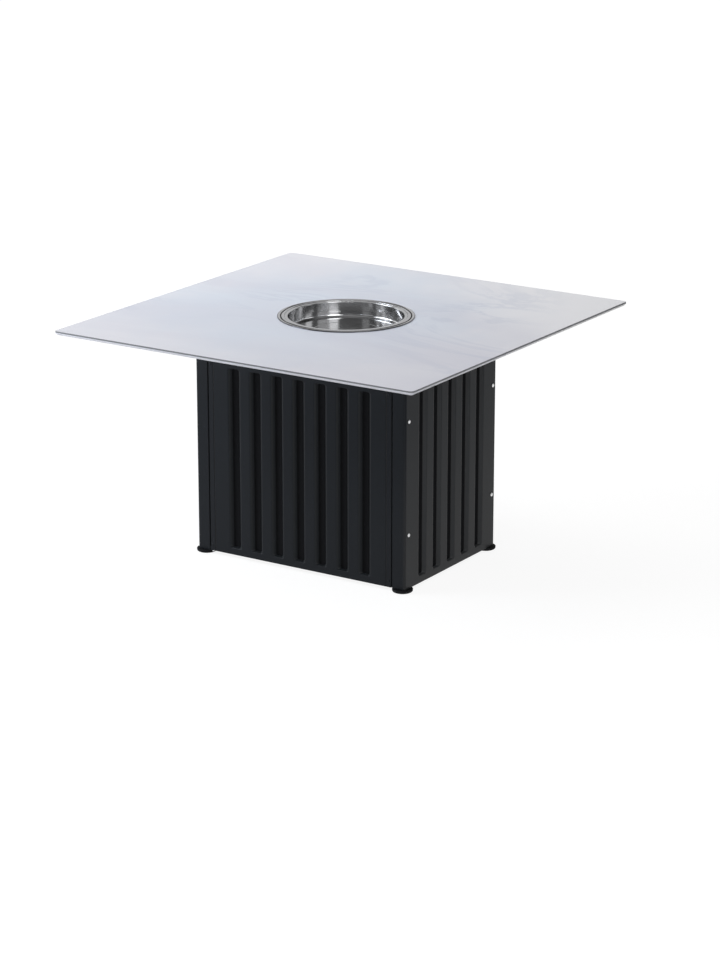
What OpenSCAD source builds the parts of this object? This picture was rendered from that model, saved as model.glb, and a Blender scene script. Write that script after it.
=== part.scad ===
// Hotpot table: stone top with a sunken steel pan on a fluted sheet-metal cabinet.
// Millimetres, +Z up, origin on the floor under the middle of the top, front towards -Y.

/* [Table top] */
// Side of the square stone top
top_w = 1200; // [1060:10:1400]
// Thickness of the stone
top_t = 12; // [10:1:20]
// Height of the stone's upper face above the floor
table_h = 712; // [690:1:760]
// Radius of the top's corners in plan
top_corner_r = 12; // [8:1:40]
// Height and depth of the bevel under the edge
top_bevel = 6; // [2:0.5:8]
// Small chamfer along the upper edge and round the hole
top_arris = 1; // [0.5:0.1:1.5]

/* [Pan and ring] */
// Outer radius of the ring's flange
ring_r = 200; // [192:1:210]
// Width of the flange that shows on the stone
ring_land = 21; // [16:1:24]
// Height of the flange above the stone
ring_h = 3; // [2.6:0.1:4]
// Sheet thickness of ring and pan
well_t = 1.2; // [0.8:0.1:1.5]
// Width of the ledge that carries the pan's rim
ledge_w = 8; // [6:0.5:10]
// Depth of the ring's collar below its ledge
collar_h = 22; // [14:1:30]
// Gap between the ring and the hole in the stone
hole_gap = 1.8; // [1:0.1:3]
// Inside depth of the pan, from its rim
pan_depth = 45; // [30:1:50]
// Inside radius between the pan's wall and floor
pan_corner_r = 8; // [4:1:12]
// Gap between the pan's wall and the ring's collar
pan_gap = 0.8; // [0.4:0.1:1.2]

/* [Base cabinet] */
// Width of the cabinet, left to right
base_w = 720; // [700:5:760]
// Depth of the cabinet, front to back
base_d = 500; // [450:5:520]
// Sheet thickness of panels and door
sheet_t = 1.2; // [1:0.1:1.4]
// Outside radius of the cabinet's upright corners
base_corner_r = 8; // [5:1:12]
// Width of the side panel's flange on the front and back faces
flange_w = 42.5; // [40:0.5:50]
// Height of the panels' lower edge above the floor
floor_gap = 11; // [10.5:0.5:16]
// Gap beside and above the door
seam_gap = 3.5; // [3:0.5:5]

/* [Flutes] */
// Width of a flute at the panel's face
flute_mouth = 36; // [30:1:40]
// Width of a flute's floor
flute_floor = 22; // [16:1:26]
// Depth of a flute
flute_d = 11; // [8:0.5:13]
// Plain height left above and below the flutes
flute_margin = 21; // [18:1:30]
// Number of flutes on the door and on the back
front_flutes = 7; // [5:1:7]
// Distance from the door's side to the middle of its first flute
front_flute_in = 90.2; // [84:0.2:96]
// Number of flutes on a side
side_flutes = 5; // [3:1:5]
// Distance from the cabinet's front to the middle of a side's first flute
side_flute_in = 94; // [88:0.5:102]

/* [Door] */
// Height of the fixed strip above the door
fascia_h = 71; // [60:1:90]
// Depth of the door's folded side edges
door_side_fold = 9; // [7:0.5:9]
// Distance from the door's hinge edge to its pivots
pivot_in = 6; // [5:0.5:7]
// Distance from the door's face back to its pivots
pivot_back = 5; // [4.8:0.1:5.2]
// Radius of the pivot pins
pin_r = 2; // [1.6:0.1:2.2]
// Distance from the door's edge to its pressed line
line_in = 16; // [14:1:18]
// Width of the pressed line
line_w = 4; // [3:0.5:5]
// Depth of the pressed line
line_d = 0.6; // [0.3:0.1:0.7]
// Width of the stiles inside the door
stile_w = 40; // [30:1:44]

/* [Frame] */
// Side of the square corner posts
post_w = 35; // [32:1:38]
// Wall of all square and flat tubes
tube_t = 1.5; // [1.2:0.1:2]
// Height of the rails
rail_h = 40; // [36:1:46]
// Depth of the rails
rail_d = 22; // [20:0.5:26]
// Width of the bearers under the stone
bearer_w = 40; // [30:1:44]
// Height of the bearers
bearer_h = 25; // [20:1:30]
// Length of the bearers, front to back
bearer_len = 1000; // [900:10:1040]
// Distance from the posts' inner faces to the middle of each bearer
bearer_in = 53.3; // [46:0.1:60]
// Thickness of the rubber pads on the bearers
pad_t = 2; // [1:0.5:4]
// Radius of the rubber pads
pad_r = 15; // [10:1:18]
// Distance from the middle to the outer pads
pad_y = 420; // [300:5:430]
// Thickness of the tray in the cabinet
tray_t = 1.5; // [1.2:0.1:2]
// Radius of the bore in the tray's rubber grommet
grommet_bore_r = 25; // [15:1:30]

/* [Feet] */
// Radius of a foot at its widest
foot_r = 30; // [24:1:31]
// Radius of a foot where it meets the floor
foot_base_r = 23; // [18:1:24]
// Height of a foot
foot_h = 10; // [8:0.5:10]
// Radius of the threaded stem
stem_r = 5; // [4:0.5:6]
// Height of the stem's upper end above the floor
stem_top = 62; // [56:1:80]

/* [Hidden] */
$fn = 64;
RING_FN = 128;
EPS = 0.01;

// Clearances
run_gap = 0.08;
seat_gap = 0.3;
panel_gap = 0.8;
front_gap = 2.2;
swing_gap = 1.5;
lip_gap = 1.2;
foot_gap = 2;
rail_lift = 5;
top_drop = 2;
plug_gap = 0.2;
door_top_gap = 3;

// Heights
slab_z = table_h - top_t;
bearer_z = slab_z - pad_t - bearer_h;
panel_top = bearer_z - top_drop;
panel_h = panel_top - floor_gap;
rail_z = floor_gap + rail_lift;
rail_top_z = bearer_z - rail_h;
fascia_z = panel_top - fascia_h;
door_top = fascia_z - door_top_gap;
door_h = door_top - floor_gap;
tray_z = rail_z + rail_h;
post_z = floor_gap + 2;

// Half sizes of the cabinet, its posts and the backs of its flutes
bx = base_w / 2;
by = base_d / 2;
post_x = bx - sheet_t - post_w / 2;
post_y = by - sheet_t - post_w / 2;
post_in_x = post_x - post_w / 2;
post_in_y = post_y - post_w / 2;
valley_x = bx - flute_d - sheet_t;
valley_y = by - flute_d - sheet_t;

// Folded edges of door, back and side panels
fold_over = 0.8;
door_fold = flute_d + sheet_t + fold_over;
back_fold = flute_d + sheet_t - 3;
lip_d = flute_d + sheet_t - lip_gap;
corner_relief = 12;

// Door: width, spacing of flutes, pivots, stiles and rivets
door_w = base_w - 2 * flange_w - 2 * seam_gap;
front_pitch = (door_w - 2 * front_flute_in) / (front_flutes - 1);
side_pitch = (base_d - 2 * side_flute_in) / (side_flutes - 1);
pivot_x = -door_w / 2 + pivot_in;
pivot_y = -by + pivot_back;
stile_inset = 3;
stile_low = 12;
stile_high = 9;
stile_z0 = floor_gap + stile_low;
stile_z1 = door_top - stile_high;
rivet_in = 8;
rivet_low = 19;
rivet_high = 18;
rivet_r = 2;
rivet_head_r = 3.5;
rivet_head_h = 1;
rivet_zs = [floor_gap + rivet_low, door_top - rivet_high];

// Rails: the front ones stand clear of the swinging door's edge and stile
swing_r = max(norm([pivot_in, pivot_back]), norm([pivot_in - stile_inset, door_fold - pivot_back]));
rail_face = max(door_fold + front_gap, pivot_back + swing_r + swing_gap);
front_rail_y = -by + rail_face + rail_d / 2;
back_rail_y = valley_y - rail_d / 2;
side_rail_x = valley_x - rail_d / 2;

// Pivot pins and the bracket of the lower one
pin_head_r = 3.5;
pin_head_h = 2.5;
pin_reach = 5;
bracket_t = 2.5;
bracket_end_r = 3.5;
bracket_w = 46;
bracket_neck = 14;

// Magnet and its strike
strike_w = 28;
strike_h = 26;
strike_t = 1.5;
strike_in = 3;
strike_low = 1;
strike_x = door_w / 2 - stile_inset - strike_in - strike_w / 2;
catch_d = 14;
catch_h = 14;
pole_w = 4;
pole_h = 8;
pole_d = 0.5;
pole_space = 10;

// Ring and pan
land_in_r = ring_r - ring_land;
collar_in_r = land_in_r - ledge_w;
hole_r = land_in_r + well_t + hole_gap;
ring_top = table_h + ring_h;
ring_foot = table_h + 0.3;
ring_roll = 1.6;
ring_ease = 1;
ledge_z = table_h + 0.2;
rim_z = ledge_z + seat_gap;
rim_top = rim_z + well_t;
rim_r = land_in_r - 0.6;
rim_ease = 2;
pan_out_r = collar_in_r - pan_gap;
pan_in_r = pan_out_r - well_t;
pan_floor_z = rim_top - pan_depth;
gasket_h = ring_h - well_t;
gasket_in = 1;

// Screws of the side panels, in heights above the panels' lower edge
side_screw_low = 160;
side_screw_high = 167;
side_screw_zs = [side_screw_low, panel_h - side_screw_high];
side_screw_in = 20;
screw_r = 2.4;
screw_head_r = 5.5;
screw_head_h = 3;
screw_len = 12;

// Screws in the valleys of the back panel
back_screw_low = (floor_gap + flute_margin + rail_z + rail_h) / 2;
back_screw_high = (rail_top_z + panel_top - flute_margin) / 2;
back_screw_head_r = 4;
back_screw_head_h = 2.2;
back_screw_len = 6;

// Bearers and their bolts
bolt_in = 10;
bearer_x = post_in_x - bearer_in;
bolt_x = bearer_x - bolt_in;
bolt_r = 3;
bolt_hole_r = 3.3;
bolt_head_r = 5.5;
bolt_head_h = 4;
nut_r = 5.5;
nut_h = 5;
bolt_spare = 3;

// Tray and grommet
tray_gap = 0.5;
grommet_wall = 5;
grommet_lip = 4;
grommet_lip_h = 2.5;
grommet_in = 120;
grommet_y = by - grommet_in;
grommet_hole_r = grommet_bore_r + grommet_wall;

// Plastic plugs of the posts and caps of the bearers
plug_h = 24;
plug_flange_h = post_z - foot_h - foot_gap;
cap_t = 3;
cap_plug = 14;

// Shape of a foot
foot_waist = 5.5;
foot_ease = 1;
foot_steps = 6;
foot_socket = 3;

// Points of an arc from angle a0 to a1
function arc(cx, cy, r, a0, a1, n = 6) =
    [for (i = [0:n]) let (a = a0 + (a1 - a0) * i / n) [cx + r * cos(a), cy + r * sin(a)]];

// Places of a row of flutes, spread evenly about zero
function row(count, pitch) = [for (i = [0:count - 1]) (i - (count - 1) / 2) * pitch];

// A box between two corners
module span(a, b) {
    translate(a) cube(b - a);
}

// Plan of a rectangle with round corners, centred
module round_rect(w, d, r) {
    square([w - 2 * r, d], center = true);
    square([w, d - 2 * r], center = true);
    for (sx = [-1, 1], sy = [-1, 1])
        translate([sx * (w / 2 - r), sy * (d / 2 - r)]) circle(r);
}

// Box section of the given wall lying along X, centred, its underside on z = 0
module tube_x(len, d, h, t) {
    difference() {
        translate([-len / 2, -d / 2, 0]) cube([len, d, h]);
        translate([-len / 2 - 1, -d / 2 + t, t]) cube([len + 2, d - 2 * t, h - 2 * t]);
    }
}

// The same section lying along Y
module tube_y(len, w, h, t) {
    rotate([0, 0, 90]) tube_x(len, w, h, t);
}

// Section of a flute: x across, y into the panel; grow is the sheet added behind it
module flute_section(grow) {
    run = (flute_mouth - flute_floor) / 2;
    side = grow * sqrt(flute_d * flute_d + run * run) / flute_d;
    out = grow > 0 ? 0 : 1;
    mouth = flute_mouth / 2 + side;
    bottom = flute_floor / 2 + side - grow * run / flute_d;
    polygon([[-mouth, 0], [-mouth, -out], [mouth, -out], [mouth, 0],
             [bottom, flute_d + grow], [-bottom, flute_d + grow]]);
}

// The pressed sheet behind a row of flutes that stands between z0 and z1
module flute_backs(count, pitch, z0, z1) {
    for (x = row(count, pitch))
        translate([x, 0, z0 - sheet_t]) linear_extrude(z1 - z0 + 2 * sheet_t) flute_section(sheet_t);
}

// The hollow of the same flutes, open to the panel's face
module flute_hollows(count, pitch, z0, z1) {
    for (x = row(count, pitch))
        translate([x, 0, z0]) linear_extrude(z1 - z0) flute_section(0);
}

// A fluted sheet tray, face on y = 0 and folds towards +Y, from z = 0 to h
module fluted_tray(w, h, fold, side_fold) {
    difference() {
        union() {
            translate([-w / 2, 0, 0]) cube([w, sheet_t, h]);
            for (z = [0, h - sheet_t]) translate([-w / 2, 0, z]) cube([w, fold, sheet_t]);
            for (s = [-1, 1])
                translate([s * (w / 2 - sheet_t / 2) - sheet_t / 2, 0, corner_relief])
                    cube([sheet_t, side_fold, h - 2 * corner_relief]);
            flute_backs(front_flutes, front_pitch, flute_margin, h - flute_margin);
        }
        flute_hollows(front_flutes, front_pitch, flute_margin, h - flute_margin);
    }
}

// Domed screw: head on z > 0, shank down to -len
module dome_screw(head_r, head_h, shank_r, len) {
    rim = head_h * 0.35;
    rotate_extrude() polygon(concat(
        [[0, -len], [shank_r, -len], [shank_r, 0], [head_r, 0], [head_r, rim]],
        [for (a = [15:15:75]) [head_r * cos(a), rim + (head_h - rim) * sin(a)]],
        [[0, head_h]]));
}

// Repeats a child at each post
module each_post() {
    for (sx = [-1, 1], sy = [-1, 1]) translate([sx * post_x, sy * post_y, 0]) children();
}

// Stone top: one slab, bevelled under its edge, with a round hole
module top_slab() {
    h = top_w / 2;
    r = top_corner_r;
    edge = [[0, 0], [r - top_bevel, 0], [r, top_bevel], [r, top_t - top_arris],
        [r - top_arris, top_t], [0, top_t]];
    right = [for (i = [1:4]) edge[i] + [h - r, 0]];
    left = [for (i = [4:-1:1]) [r - h - edge[i][0], edge[i][1]]];
    color("lightgray") translate([0, 0, slab_z]) difference() {
        union() {
            for (turn = [0, 90]) rotate([0, 0, turn]) rotate([90, 0, 0])
                translate([0, 0, -(h - r)]) linear_extrude(top_w - 2 * r) polygon(concat(right, left));
            for (sx = [-1, 1], sy = [-1, 1])
                translate([sx * (h - r), sy * (h - r), 0]) rotate_extrude() polygon(edge);
        }
        translate([0, 0, -1]) cylinder(r = hole_r, h = top_t + 2, $fn = RING_FN);
        rotate_extrude($fn = RING_FN) polygon([[0, top_t - top_arris], [hole_r, top_t - top_arris],
            [hole_r + top_arris + EPS, top_t + EPS], [0, top_t + EPS]]);
    }
}

// Rubber pads between the bearers and the stone
module slab_pads() {
    color("dimgray")
    for (sx = [-1, 1], y = [-pad_y, 0, pad_y])
        translate([sx * bearer_x, y, slab_z - pad_t]) cylinder(r = pad_r, h = pad_t);
}

// Seal between the stone and the ring
module ring_gasket() {
    color("dimgray") translate([0, 0, table_h]) difference() {
        cylinder(r = ring_r - well_t - gasket_in, h = gasket_h, $fn = RING_FN);
        translate([0, 0, -1]) cylinder(r = hole_r + gasket_in, h = gasket_h + 2, $fn = RING_FN);
    }
}

// Stainless ring: flange on the stone, ledge for the pan and collar through the hole
module well_ring() {
    t = well_t;
    low = ledge_z - collar_h;
    color("silver") rotate_extrude($fn = RING_FN) polygon(concat(
        [[ring_r - t, ring_foot], [ring_r, ring_foot]],
        arc(ring_r - ring_roll, ring_top - ring_roll, ring_roll, 0, 90, 4),
        [[land_in_r + ring_ease, ring_top], [land_in_r, ring_top - ring_ease], [land_in_r, ledge_z],
         [collar_in_r + ring_ease, ledge_z], [collar_in_r, ledge_z - ring_ease], [collar_in_r, low],
         [collar_in_r + t, low], [collar_in_r + t, ledge_z - t], [land_in_r + t, ledge_z - t],
         [land_in_r + t, ring_top - t], [ring_r - t, ring_top - t]]));
}

// Stainless pan that drops into the ring
module well_pan() {
    t = well_t;
    rc = pan_corner_r;
    color("gainsboro") rotate_extrude($fn = RING_FN) polygon(concat(
        [[0, pan_floor_z - t]],
        arc(pan_in_r - rc, pan_floor_z + rc, rc + t, -90, 0, 8),
        [[pan_out_r, rim_z], [rim_r, rim_z], [rim_r, rim_top]],
        arc(pan_in_r + rim_ease, rim_top - rim_ease, rim_ease, 90, 180, 4),
        arc(pan_in_r - rc, pan_floor_z + rc, rc, 0, -90, 8),
        [[0, pan_floor_z]]));
}

// Flat tube across the cabinet that carries the stone; side is -1 or 1
module bearer(side) {
    color("dimgray") translate([side * bearer_x, 0, bearer_z]) difference() {
        tube_y(bearer_len, bearer_w, bearer_h, tube_t);
        for (y = [front_rail_y, back_rail_y])
            translate([-side * bolt_in, y, -1]) cylinder(r = bolt_hole_r, h = tube_t + 2);
    }
}

module bearer_left() {
    bearer(-1);
}

module bearer_right() {
    bearer(1);
}

// Plastic caps in the ends of the bearers
module bearer_caps() {
    in = tube_t + plug_gap;
    color("black") for (sx = [-1, 1], sy = [-1, 1])
        translate([sx * bearer_x, sy * bearer_len / 2, bearer_z]) union() {
            translate([-bearer_w / 2, sy > 0 ? 0 : -cap_t, 0]) cube([bearer_w, cap_t, bearer_h]);
            translate([-bearer_w / 2 + in, sy > 0 ? -cap_plug : 0, in])
                cube([bearer_w - 2 * in, cap_plug, bearer_h - 2 * in]);
        }
}

// Bolts up through the rails into the bearers
module bearer_bolts() {
    top = bearer_z + tube_t + nut_h + bolt_spare;
    color("silver") for (sx = [-1, 1], front = [true, false]) {
        seat = front ? fascia_z : rail_top_z;
        translate([sx * bolt_x, front ? front_rail_y : back_rail_y, seat]) union() {
            cylinder(r = bolt_r, h = top - seat);
            translate([0, 0, -bolt_head_h]) cylinder(r = bolt_head_r, h = bolt_head_h, $fn = 6);
        }
    }
}

// Nuts of those bolts, inside the bearers
module bearer_nuts() {
    color("silver") for (sx = [-1, 1], y = [front_rail_y, back_rail_y])
        translate([sx * bolt_x, y, bearer_z + tube_t]) difference() {
            cylinder(r = nut_r, h = nut_h, $fn = 6);
            translate([0, 0, -1]) cylinder(r = bolt_r, h = nut_h + 2);
        }
}

// Square corner post with the holes of its side screws
module post(sx, sy) {
    color("dimgray") difference() {
        translate([sx * post_x, sy * post_y, post_z]) linear_extrude(bearer_z - post_z) difference() {
            round_rect(post_w, post_w, base_corner_r);
            round_rect(post_w - 2 * tube_t, post_w - 2 * tube_t, base_corner_r - tube_t);
        }
        side_screw_places(sx, sy) rotate([0, 90, 0]) translate([0, 0, -screw_len])
            cylinder(r = screw_r, h = screw_len);
    }
}

// Repeats a child at the two side screws of a corner, its +X pointing out of the panel
module side_screw_places(sx, sy) {
    for (z = side_screw_zs)
        translate([sx * bx, sy * (by - side_screw_in), floor_gap + z])
            rotate([0, 0, sx > 0 ? 0 : 180]) children();
}

module post_front_left() {
    post(-1, -1);
}

module post_front_right() {
    post(1, -1);
}

module post_back_left() {
    post(-1, 1);
}

module post_back_right() {
    post(1, 1);
}

// Rail between two posts along X, with bolt holes where the bearers cross it
module long_rail(y, z, h, bolted) {
    color("dimgray") translate([0, y, z]) difference() {
        tube_x(2 * post_in_x, rail_d, h, tube_t);
        if (bolted)
            for (sx = [-1, 1])
                translate([sx * bolt_x, 0, -1]) cylinder(r = bolt_hole_r, h = h + 2);
    }
}

// Rail between two posts along Y
module short_rail(side, z) {
    color("dimgray") translate([side * side_rail_x, 0, z])
        tube_y(2 * post_in_y, rail_d, rail_h, tube_t);
}

// The front rail reaches down to the fold of the fascia
module top_rail_front() {
    low = fascia_z + sheet_t;
    long_rail(front_rail_y, low, bearer_z - low, true);
}

module top_rail_back() {
    difference() {
        long_rail(back_rail_y, rail_top_z, rail_h, true);
        back_screw_places(back_screw_high) cylinder(r = screw_r, h = screw_len, center = true);
    }
}

module top_rail_left() {
    short_rail(-1, rail_top_z);
}

module top_rail_right() {
    short_rail(1, rail_top_z);
}

module bottom_rail_front() {
    long_rail(front_rail_y, rail_z, rail_h, false);
}

module bottom_rail_back() {
    difference() {
        long_rail(back_rail_y, rail_z, rail_h, false);
        back_screw_places(back_screw_low) cylinder(r = screw_r, h = screw_len, center = true);
    }
}

module bottom_rail_left() {
    short_rail(-1, rail_z);
}

module bottom_rail_right() {
    short_rail(1, rail_z);
}

// Right side panel: one sheet, fluted on the side and wrapped round both corners
module side_panel() {
    z0 = flute_margin;
    z1 = panel_h - flute_margin;
    color("black") difference() {
        translate([0, 0, floor_gap]) difference() {
            union() {
                linear_extrude(panel_h) intersection() {
                    difference() {
                        round_rect(base_w, base_d, base_corner_r);
                        round_rect(base_w - 2 * sheet_t, base_d - 2 * sheet_t, base_corner_r - sheet_t);
                    }
                    translate([bx - flange_w, -by]) square([flange_w, base_d]);
                }
                for (s = [-1, 1])
                    translate([bx - flange_w, s > 0 ? by - lip_d : -by, 0]) cube([sheet_t, lip_d, panel_h]);
                translate([bx, 0, 0]) rotate([0, 0, 90]) flute_backs(side_flutes, side_pitch, z0, z1);
            }
            translate([bx, 0, 0]) rotate([0, 0, 90]) flute_hollows(side_flutes, side_pitch, z0, z1);
        }
        for (sy = [-1, 1]) side_screw_places(1, sy) rotate([0, 90, 0])
            cylinder(r = screw_r, h = 3 * sheet_t, center = true);
    }
}

module left_panel() {
    mirror([1, 0, 0]) side_panel();
}

module right_panel() {
    side_panel();
}

// Repeats a child at the screws of the back panel, its +Z pointing out of the panel
module back_screw_places(z) {
    xs = row(front_flutes, front_pitch);
    for (i = [0:2:front_flutes - 1])
        translate([xs[i], by - flute_d, z]) rotate([-90, 0, 0]) children();
}

// Fixed fluted panel at the back
module back_panel() {
    w = base_w - 2 * flange_w - 2 * panel_gap;
    color("black") difference() {
        translate([0, by, floor_gap]) rotate([0, 0, 180]) fluted_tray(w, panel_h, back_fold, back_fold);
        for (z = [back_screw_low, back_screw_high])
            back_screw_places(z) cylinder(r = screw_r, h = 3 * sheet_t, center = true);
    }
}

// Fixed strip above the door, folded over its top and under the front rail
module front_fascia() {
    w = door_w;
    color("black") translate([0, -by, fascia_z]) difference() {
        union() {
            translate([-w / 2, 0, 0]) cube([w, sheet_t, fascia_h]);
            translate([-w / 2, 0, 0]) cube([w, rail_face + rail_d, sheet_t]);
            translate([-w / 2, 0, fascia_h - sheet_t]) cube([w, rail_face, sheet_t]);
        }
        for (sx = [-1, 1]) translate([sx * bolt_x, by + front_rail_y, -1])
            cylinder(r = bolt_hole_r, h = sheet_t + 2);
        translate([pivot_x, pivot_back, -1]) cylinder(r = pin_r, h = sheet_t + 2);
    }
}

// Flat tray on the lower rails, notched round the posts
module bottom_tray() {
    x = valley_x - tray_gap;
    y0 = front_rail_y - rail_d / 2 + tray_gap;
    y1 = valley_y - tray_gap;
    color("dimgray") translate([0, 0, tray_z]) difference() {
        span([-x, y0, 0], [x, y1, tray_t]);
        each_post() translate([0, 0, -tray_t])
            linear_extrude(3 * tray_t) square(post_w + 2 * tray_gap, center = true);
        translate([0, grommet_y, -1]) cylinder(r = grommet_hole_r, h = tray_t + 2);
    }
}

// Rubber grommet round the supply hole of the tray
module cable_grommet() {
    lip = grommet_hole_r + grommet_lip;
    waist = grommet_hole_r;
    low = -grommet_lip_h;
    high = tray_t + grommet_lip_h;
    color("black") translate([0, grommet_y, tray_z]) rotate_extrude() polygon([
        [grommet_bore_r, low], [lip, low], [lip, 0], [waist, 0], [waist, tray_t],
        [lip, tray_t], [lip, high], [grommet_bore_r, high]]);
}

// Pan-head screws of one side panel
module side_screws(sx) {
    color("white") for (sy = [-1, 1])
        side_screw_places(sx, sy) rotate([0, 90, 0])
            dome_screw(screw_head_r, screw_head_h, screw_r, screw_len);
}

module left_screws() {
    side_screws(-1);
}

module right_screws() {
    side_screws(1);
}

// Screws in the valleys of the back panel
module back_screws() {
    color("black") for (z = [back_screw_low, back_screw_high])
        back_screw_places(z) dome_screw(back_screw_head_r, back_screw_head_h, screw_r, back_screw_len);
}

// Fluted door, with a pressed line near each side and pivot holes in its folds
module door_skin() {
    color("black") translate([0, -by, floor_gap]) difference() {
        fluted_tray(door_w, door_h, door_fold, door_side_fold);
        for (s = [-1, 1]) translate([s * (door_w / 2 - line_in), 0, -1]) linear_extrude(door_h + 2)
            polygon([[-line_w / 2, -EPS], [line_w / 2, -EPS], [0, line_d]]);
        translate([pivot_x, pivot_back, -1]) cylinder(r = pin_r + run_gap, h = door_h + 2);
        for (s = [-1, 1], z = rivet_zs)
            translate([s * (door_w / 2 - rivet_in), 0, z - floor_gap]) rotate([90, 0, 0])
                cylinder(r = rivet_r, h = 3 * sheet_t, center = true);
    }
}

// Channel inside the door near one side; side is -1 or 1
module door_stile(side) {
    x1 = door_w / 2 - stile_inset;
    x0 = x1 - stile_w;
    y0 = -by + sheet_t;
    y1 = -by + door_fold;
    h = stile_z1 - stile_z0;
    t = sheet_t;
    color("dimgray") mirror([side < 0 ? 1 : 0, 0, 0]) difference() {
        translate([0, 0, stile_z0]) linear_extrude(h) polygon([
            [x0, y0], [x1, y0], [x1, y0 + t], [x0 + t, y0 + t], [x0 + t, y1 - t],
            [x1, y1 - t], [x1, y1], [x0, y1]]);
        for (z = rivet_zs)
            translate([door_w / 2 - rivet_in, -by, z]) rotate([90, 0, 0])
                cylinder(r = rivet_r, h = 6 * sheet_t, center = true);
    }
}

module door_stile_left() {
    door_stile(-1);
}

module door_stile_right() {
    door_stile(1);
}

// Dome rivets that hold the stiles to the door's sheet
module door_rivets() {
    color("black") for (s = [-1, 1], z = rivet_zs)
        translate([s * (door_w / 2 - rivet_in), -by, z]) rotate([90, 0, 0])
            dome_screw(rivet_head_r, rivet_head_h, rivet_r, 2 * sheet_t);
}

// Steel plate on the door that the magnet holds
module strike_plate() {
    color("silver") translate([strike_x - strike_w / 2, -by + door_fold, door_top - strike_low - strike_h])
        cube([strike_w, strike_t, strike_h]);
}

// Plate under the lower front rail that holds the lower pivot pin
module hinge_bracket() {
    front = rail_face - pivot_back;
    back = front + rail_d - 1;
    color("dimgray") translate([pivot_x, pivot_y, rail_z - bracket_t]) difference() {
        union() {
            cylinder(r = bracket_end_r, h = bracket_t);
            linear_extrude(bracket_t) polygon([[-1, 1], [bracket_end_r, front], [bracket_end_r, back],
                [bracket_w, back], [bracket_w, front + 1], [bracket_neck, front + 1], [1, -1]]);
        }
        translate([0, 0, -1]) cylinder(r = pin_r, h = bracket_t + 2);
    }
}

// Headed pin down through the fascia's fold into the door
module hinge_pin_top() {
    low = door_top - pin_reach;
    seat = fascia_z + sheet_t;
    color("silver") translate([pivot_x, pivot_y, 0]) union() {
        translate([0, 0, seat]) cylinder(r = pin_head_r, h = pin_head_h);
        translate([0, 0, low]) cylinder(r = pin_r, h = seat - low);
    }
}

// Headed pin up through the door's lower fold into the bracket; the door rests on its head
module hinge_pin_bottom() {
    seat = floor_gap - seat_gap;
    color("silver") translate([pivot_x, pivot_y, seat]) union() {
        translate([0, 0, -pin_head_h]) cylinder(r = pin_head_r, h = pin_head_h);
        cylinder(r = pin_r, h = rail_z - seat);
    }
}

// Magnet in a plastic body under the fascia's fold, its two poles towards the door
module magnet_catch() {
    y0 = -by + door_fold + strike_t + seat_gap;
    color("black") translate([strike_x, y0, fascia_z - catch_h]) difference() {
        translate([-strike_w / 2, 0, 0]) cube([strike_w, catch_d, catch_h]);
        for (s = [-1, 1]) translate([(s * pole_space - pole_w) / 2, -1, (catch_h - pole_h) / 2])
            cube([pole_w, 1 + pole_d, pole_h]);
    }
}

// Threaded plugs in the lower ends of the posts
module post_plugs() {
    in = post_w - 2 * tube_t - 2 * plug_gap;
    low = post_z - plug_flange_h;
    color("black") each_post() translate([0, 0, low]) difference() {
        union() {
            linear_extrude(plug_flange_h) round_rect(post_w, post_w, base_corner_r);
            linear_extrude(plug_flange_h + plug_h) round_rect(in, in, base_corner_r - tube_t);
        }
        translate([0, 0, -1]) cylinder(r = stem_r + run_gap, h = plug_flange_h + plug_h + 2);
    }
}

// Rounded foot on the floor, with a socket for its stem
module foot_pad(sx, sy) {
    swell = foot_r - foot_base_r;
    side = [for (i = [0:foot_steps]) let (a = 90 * i / foot_steps)
        [foot_base_r + swell * sin(a), foot_waist * (1 - cos(a))]];
    color("black") translate([sx * post_x, sy * post_y, 0]) difference() {
        rotate_extrude() polygon(concat([[0, 0]], side,
            [[foot_r, foot_h - foot_ease], [foot_r - foot_ease, foot_h], [0, foot_h]]));
        translate([0, 0, foot_socket]) cylinder(r = stem_r, h = foot_h);
    }
}

// Threaded stem of a foot
module foot_stem(sx, sy) {
    color("silver") translate([sx * post_x, sy * post_y, foot_socket])
        cylinder(r = stem_r, h = stem_top - foot_socket);
}

module foot_pad_front_left() {
    foot_pad(-1, -1);
}

module foot_pad_front_right() {
    foot_pad(1, -1);
}

module foot_pad_back_left() {
    foot_pad(-1, 1);
}

module foot_pad_back_right() {
    foot_pad(1, 1);
}

module foot_stem_front_left() {
    foot_stem(-1, -1);
}

module foot_stem_front_right() {
    foot_stem(1, -1);
}

module foot_stem_back_left() {
    foot_stem(-1, 1);
}

module foot_stem_back_right() {
    foot_stem(1, 1);
}

top_slab();
slab_pads();
ring_gasket();
well_ring();
well_pan();
bearer_left();
bearer_right();
bearer_caps();
bearer_bolts();
bearer_nuts();
post_front_left();
post_front_right();
post_back_left();
post_back_right();
top_rail_front();
top_rail_back();
top_rail_left();
top_rail_right();
bottom_rail_front();
bottom_rail_back();
bottom_rail_left();
bottom_rail_right();
left_panel();
right_panel();
back_panel();
front_fascia();
bottom_tray();
cable_grommet();
left_screws();
right_screws();
back_screws();
door_skin();
door_stile_left();
door_stile_right();
door_rivets();
strike_plate();
hinge_bracket();
hinge_pin_top();
hinge_pin_bottom();
magnet_catch();
post_plugs();
foot_pad_front_left();
foot_pad_front_right();
foot_pad_back_left();
foot_pad_back_right();
foot_stem_front_left();
foot_stem_front_right();
foot_stem_back_left();
foot_stem_back_right();
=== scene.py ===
"""Finishes, formed meshes and studio of a hotpot table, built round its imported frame.

The floor is z = 0, the door faces -Y and +X is to the right of someone who faces the door. Lengths of pieces
are millimetres, turned into metres as each mesh is made. Lengths of finishes, lamps and camera are metres.
"""

import logging
import math
from collections.abc import Sequence
from dataclasses import dataclass, field
from enum import Enum

import bmesh
import bpy
from mathutils import Matrix, Vector


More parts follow.
